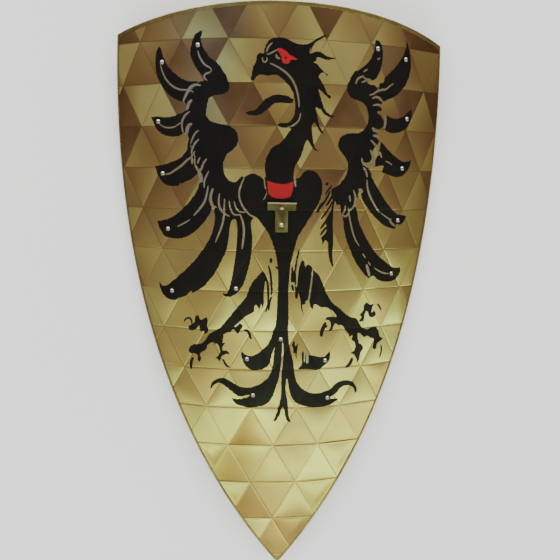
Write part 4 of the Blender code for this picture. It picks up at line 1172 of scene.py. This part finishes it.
def make_face_sheet():
    """The embossed and painted sheet, cut along the creases and along every painted outline."""
    painting = painted_outlines()
    flat, faces = plate_faces(GRID_SPACING, GAP, [curve for _, curve in painting], crease_lines(CREASE_REACH))
    height, apart, _ = relief(flat[:, 0], flat[:, 1])
    mesh = plate_mesh("face_sheet_fine", flat, faces, height, SHEET_BACK)
    middles = flat[faces].mean(1)
    paints = np.zeros(len(faces), int)
    for which, curve in painting:
        paints[inside(middles, curve)] = which
    for material in (face_brass(), paint("black_enamel", *BLACK_PAINT), paint("red_enamel", *RED_PAINT)):
        mesh.materials.append(material)
    slots = np.zeros(len(mesh.polygons), int)
    slots[: len(faces)] = np.where(paints == SCRAPED, BARE, paints)
    mesh.polygons.foreach_set("material_index", slots)

    numbers = relief(middles[:, 0], middles[:, 1])[2]
    # Tones that carry painted reflection and painted shade, with the scraped lines kept at one tone
    tones = np.full(len(mesh.loops), BACK_TONE)
    tones_with_reflection = facet_tones(flat[faces], middles, numbers)
    tones[: faces.size] = np.where(paints[:, None] == SCRAPED, SCRAPED_TONE, tones_with_reflection).ravel()
    store(mesh, "facet_tone_and_reflection", "CORNER", tones)
    # Crease darkening, patina and painted shade
    creases = np.zeros(len(mesh.vertices))
    creases[: len(flat)] = crease_tarnish_and_shade(flat[:, 1], apart)
    store(mesh, "crease", "POINT", creases)

    mesh.shade_smooth()
    normals = relief_normals(flat[:, 0], flat[:, 1])[faces] + facet_tilts(middles, numbers)[:, None, :]
    corners = np.zeros((len(mesh.loops), 3))
    corners[: faces.size] = (normals / np.linalg.norm(normals, axis=-1)[..., None]).reshape(-1, 3)
    mesh.normals_split_custom_set(corners.tolist())
    add_piece("face_sheet", mesh)


def make_board():
    """The bent board behind the sheet, with its grain along it."""
    flat, faces = plate_faces(BOARD_GRID)
    mesh = plate_mesh("board_fine", flat, faces, BOARD_FRONT, BOARD_BACK)
    add_plain_piece("board", mesh, board_wood())


def edging_section(lip):
    """The folded strip cut across, as pairs of inset from the rim and level. lip is the inset of both its lips.

    Its front lip is pressed down on the flattened border of the sheet.
    """
    front = CREASE_DEPTH + GAP / 3
    back = BOARD_BACK - GAP
    front_outer = front + EDGING_THICKNESS
    back_outer = back - EDGING_THICKNESS
    front_centre = Vector((EDGING_ROUND, front_outer - EDGING_ROUND))
    back_centre = Vector((EDGING_ROUND, back_outer + EDGING_ROUND))
    quarter = spread(math.pi / 2, math.pi, EDGING_ROUND_STEPS)
    section = [on_circle(front_centre, EDGING_ROUND, a) for a in quarter]
    section += [on_circle(back_centre, EDGING_ROUND, a + math.pi / 2) for a in quarter]
    lip_radius = EDGING_THICKNESS / 3
    for side, outer, inner in ((1, back_outer, back), (-1, front_outer - EDGING_LIP_SLOPE, front)):
        centre = Vector((lip - lip_radius, outer + side * lip_radius))
        angles = spread(-side * math.pi / 2, 0, EDGING_ROUND_STEPS)
        rounded = [on_circle(centre, lip_radius, a) for a in angles]
        flat_back = [Vector((lip, inner)), Vector((EDGING_THICKNESS, inner))]
        section += rounded + flat_back if side > 0 else flat_back[::-1] + rounded[::-1]
    return section


def side_edging_path(inset, hand):
    points = tip_points(inset, EDGING_TIP_STEPS) + side_points(inset, EDGING_SIDE_STEPS, trim=GAP)
    points[0].x = GAP / 2
    return [Vector((hand * point.x, point.y)) for point in points]


def make_edging(node, path, lip, material):
    """One strip of the edging: its section carried along a path, which is a function of the inset."""
    section = edging_section(lip)
    rings = [path(inset) for inset, _ in section]
    count = len(rings[0])
    verts = np.concatenate([
        bent([point.x for point in ring], [point.y for point in ring], level)
        for ring, (_, level) in zip(rings, section)
    ])
    faces = []
    for ring in range(len(section)):
        first, following = ring * count, (ring + 1) % len(section) * count
        for i in range(count - 1):
            faces.append((first + i, first + i + 1, following + i + 1, following + i))
    faces.append([ring * count for ring in range(len(section))])
    faces.append([ring * count + count - 1 for ring in reversed(range(len(section)))])
    mesh = bpy.data.meshes.new(node + "_fine")
    mesh.from_pydata(verts.tolist(), [], faces)
    bm = bmesh.new()
    bm.from_mesh(mesh)
    bmesh.ops.recalc_face_normals(bm, faces=bm.faces[:])
    bm.to_mesh(mesh)
    bm.free()
    add_plain_piece(node, mesh, material)


def across_plate(edge, outwards):
    """Whether an edge of the bracket only crosses the thickness of its plate."""
    way = edge.verts[1].co - edge.verts[0].co
    return abs(way.normalized().dot(outwards)) > UPRIGHT_SHARE and way.length < BRACKET_THICKNESS * THICKNESS_MARGIN


def make_bracket():
    """The folded T bracket, with its corners rounded and then its edges broken."""
    bm = bmesh.new()
    bm.from_mesh(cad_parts["bracket_plate"].data)
    bmesh.ops.remove_doubles(bm, verts=bm.verts[:], dist=WELD_DISTANCE)
    bmesh.ops.dissolve_limit(bm, angle_limit=FLAT_ANGLE, verts=bm.verts[:], edges=bm.edges[:])
    outwards = LYING.to_3x3() @ Vector((0, 0, 1))
    for offset, corners_only in ((BRACKET_CORNER, True), (BRACKET_BEVEL, False)):
        turns = [edge for edge in bm.edges if edge.calc_face_angle_signed(0) > SQUARE_ANGLE]
        bmesh.ops.bevel(
            bm,
            geom=[edge for edge in turns if not corners_only or across_plate(edge, outwards)],
            offset=offset,
            offset_type="OFFSET",
            segments=BEVEL_STEPS,
            profile=0.5,
            affect="EDGES",
            clamp_overlap=True,
        )
    mesh = bpy.data.meshes.new("bracket_plate_fine")
    bm.to_mesh(mesh)
    bm.free()
    plate_way = max(mesh.polygons, key=lambda face: face.area).normal
    plate_way = plate_way * math.copysign(1, plate_way.dot(outwards))
    levels = np.array([vertex.co.dot(plate_way) for vertex in mesh.vertices])
    # Painted highlight along the top of the bracket's ledge
    store(mesh, "ledge_highlight", "POINT", smooth((levels - levels.max()) / LEDGE_HIGHLIGHT_DEPTH + 1))
    add_plain_piece("bracket_plate", mesh, strip_brass("bracket_brass", *BRACKET_BRASS))


def nail_profile():
    """Half of a domed nail cut along its axis, with the underside of its head at level 0."""
    dome_radius = (NAIL_HEAD_RADIUS**2 + NAIL_HEAD_HEIGHT**2) / (2 * NAIL_HEAD_HEIGHT)
    centre = NAIL_HEAD_HEIGHT - dome_radius
    half_angle = math.asin(NAIL_HEAD_RADIUS / dome_radius)
    profile = [
        (dome_radius * math.sin(a), centre + dome_radius * math.cos(a))
        for a in spread(0, half_angle, NAIL_DOME_STEPS)
    ]
    profile += [
        (NAIL_HEAD_RADIUS, -GAP / 3),
        (NAIL_HEAD_RADIUS - GAP, -GAP / 2),
        (NAIL_SHANK_RADIUS, -GAP / 2),
        (NAIL_SHANK_RADIUS, NAIL_POINT_LENGTH - NAIL_SHANK_LENGTH),
        (0, -NAIL_SHANK_LENGTH),
    ]
    return profile


def make_nail(node, across, along, level, material):
    """A nail turned about its axis and driven square to the bent face."""
    foot = Vector(bent(across, along, level))
    sideways, lengthways, outwards = (Vector(way) for way in bent_directions(across))
    rings = []
    for radius, rise in nail_profile():
        angles = [0.0] if radius == 0 else spread(0, 2 * math.pi, NAIL_SIDES)[:-1]
        spokes = [(sideways * math.cos(a) + lengthways * math.sin(a)) * radius for a in angles]
        rings.append([tuple(foot + outwards * rise + spoke) for spoke in spokes])
    starts = [0]
    for ring in rings:
        starts.append(starts[-1] + len(ring))
    faces = []
    for i in range(NAIL_SIDES):
        j = (i + 1) % NAIL_SIDES
        faces.append((starts[0], starts[1] + i, starts[1] + j))
        for a, b in zip(starts[1:-2], starts[2:-2]):
            faces.append((a + i, b + i, b + j, a + j))
        faces.append((starts[-2], starts[-3] + j, starts[-3] + i))
    mesh = bpy.data.meshes.new(node + "_fine")
    mesh.from_pydata([vert for ring in rings for vert in ring], [], faces)
    add_plain_piece(node, mesh, material)


def face_place(shares):
    across, up = shares
    return across * HALF_WIDTH, up * FACE_LENGTH - TIP_DEPTH


def seat_level(across, along):
    """The highest level of the embossing under a nail's head."""
    angles = np.array(spread(0, 2 * math.pi, SEAT_STEPS))
    radii = NAIL_HEAD_RADIUS * np.array(SEAT_RINGS)[:, None]
    ring_across = (across + radii * np.cos(angles)).ravel()
    ring_along = (along + radii * np.sin(angles)).ravel()
    return float(relief(ring_across, ring_along)[0].max())


def make_nails():
    silver = nail_metal("nail_silver", *NAIL_SILVER)
    brass = nail_metal("nail_brass", *NAIL_BRASS)
    for group, places in FEATHER_NAILS.items():
        for number, shares in enumerate(places, 1):
            across, along = face_place(shares)
            level = seat_level(across, along) + GAP / 2
            make_nail(f"nail_{group}_{number}", across, along, level, silver)
    middle, top = face_place(BRACKET_TOP_PLACE)
    foot = top - BRACKET_BAR_HEIGHT - BRACKET_STEM_LENGTH
    for node, along in (("upper", top - BRACKET_NAIL_DROP), ("lower", foot + BRACKET_NAIL_RISE)):
        make_nail(f"bracket_nail_{node}", middle, along, BRACKET_FRONT + GAP / 2, brass)


def make_floor():
    mesh = bpy.data.meshes.new("floor")
    corners = [(-FLOOR, -FLOOR, 0), (FLOOR, -FLOOR, 0), (FLOOR, FLOOR, 0), (-FLOOR, FLOOR, 0)]
    mesh.from_pydata(corners, [], [(0, 1, 2, 3)])
    shader = Shader("floor", Roughness=0.9)
    shader.colour(shader.mix(shader.noise(3.0), *FLOOR_PALE))
    mesh.materials.append(shader.material)
    obj = new_object("floor", mesh)
    obj.location.z = -FLOOR_DROP
    obj.visible_glossy = False


def make_light(name, place, size, power, colour, in_gloss):
    data = bpy.data.lights.new(name, "AREA")
    data.shape = "RECTANGLE"
    data.size, data.size_y = size
    data.energy = power
    data.color = colour
    light = new_object(name, data)
    light.location = place
    light.rotation_euler = (-Vector(place)).to_track_quat("-Z", "Y").to_euler()
    light.visible_glossy = in_gloss


def make_surroundings():
    """A pale even light, and a room in its place for what the gloss shows.

    The room is bright beyond the shield's top, brown overhead and pale beyond the middle and foot of the shield, and
    it has patches of other colours.
    """
    world = bpy.data.worlds.new("studio")
    bpy.context.scene.world = world
    world.use_nodes = True
    tree = NodeTree(world.node_tree, "Generated")
    across, along, up = tree.add("SeparateXYZ", {0: tree.place}).outputs
    wobble = tree.math("MULTIPLY", tree.math("SUBTRACT", tree.noise(ROOM_CLOUDS, detail=2.0), 0.5), ROOM_WOBBLE)
    towards_foot = tree.math("ADD", tree.math("SUBTRACT", wobble, along), tree.math("MULTIPLY", across, ROOM_SKEW))
    room = tree.ramp(tree.span(towards_foot, -ROOM_REACH, ROOM_REACH), *ROOM_ALONG)
    room = tree.mix(tree.span(up, *ROOM_LOW_HEIGHTS, 1.0, 0.0), room, ROOM_LOW, "MULTIPLY")
    for *middles_and_reaches, colour in ROOM_PATCHES:
        shares = []
        for place, (middle, reach) in zip((across, towards_foot), middles_and_reaches):
            distance = tree.math("ABSOLUTE", tree.math("SUBTRACT", place, middle))
            shares.append(tree.span(distance, reach, reach * PATCH_CORE))
        room = tree.mix(tree.math("MULTIPLY", *shares), room, colour, "MULTIPLY")
    in_gloss = tree.add("LightPath", {}).outputs["Is Glossy Ray"]
    background = tree.nodes["Background"]
    tree.feed(background.inputs["Color"], tree.mix(in_gloss, STUDIO_LIGHT, room))
    tree.feed(background.inputs["Strength"], 1.0)


def make_camera():
    """A camera above the lying shield, turned a little towards its upper left."""
    data = bpy.data.cameras.new("camera")
    data.sensor_width = CAMERA_SENSOR
    data.lens = CAMERA_LENS
    camera = new_object("camera", data)
    axes = Matrix(CAMERA_AXES) @ Matrix.Rotation(-LEAN, 3, "X")
    camera.matrix_world = Matrix.Translation(LYING @ Vector(CAMERA_PLACE)) @ axes.transposed().to_4x4()
    bpy.context.scene.camera = camera


make_face_sheet()
make_board()
EDGING = strip_brass("edging_brass", *EDGING_BRASS)
make_edging("edging_right", lambda inset: side_edging_path(inset, 1), EDGING_SIDE_LIP, EDGING)
make_edging("edging_left", lambda inset: side_edging_path(inset, -1), EDGING_SIDE_LIP, EDGING)
make_edging("edging_top", lambda inset: arch_points(inset, EDGING_ARCH_STEPS, trim=GAP), EDGING_TOP_LIP, EDGING)
make_bracket()
make_nails()
make_floor()
make_surroundings()
for light in LIGHTS:
    make_light(*light)
make_camera()
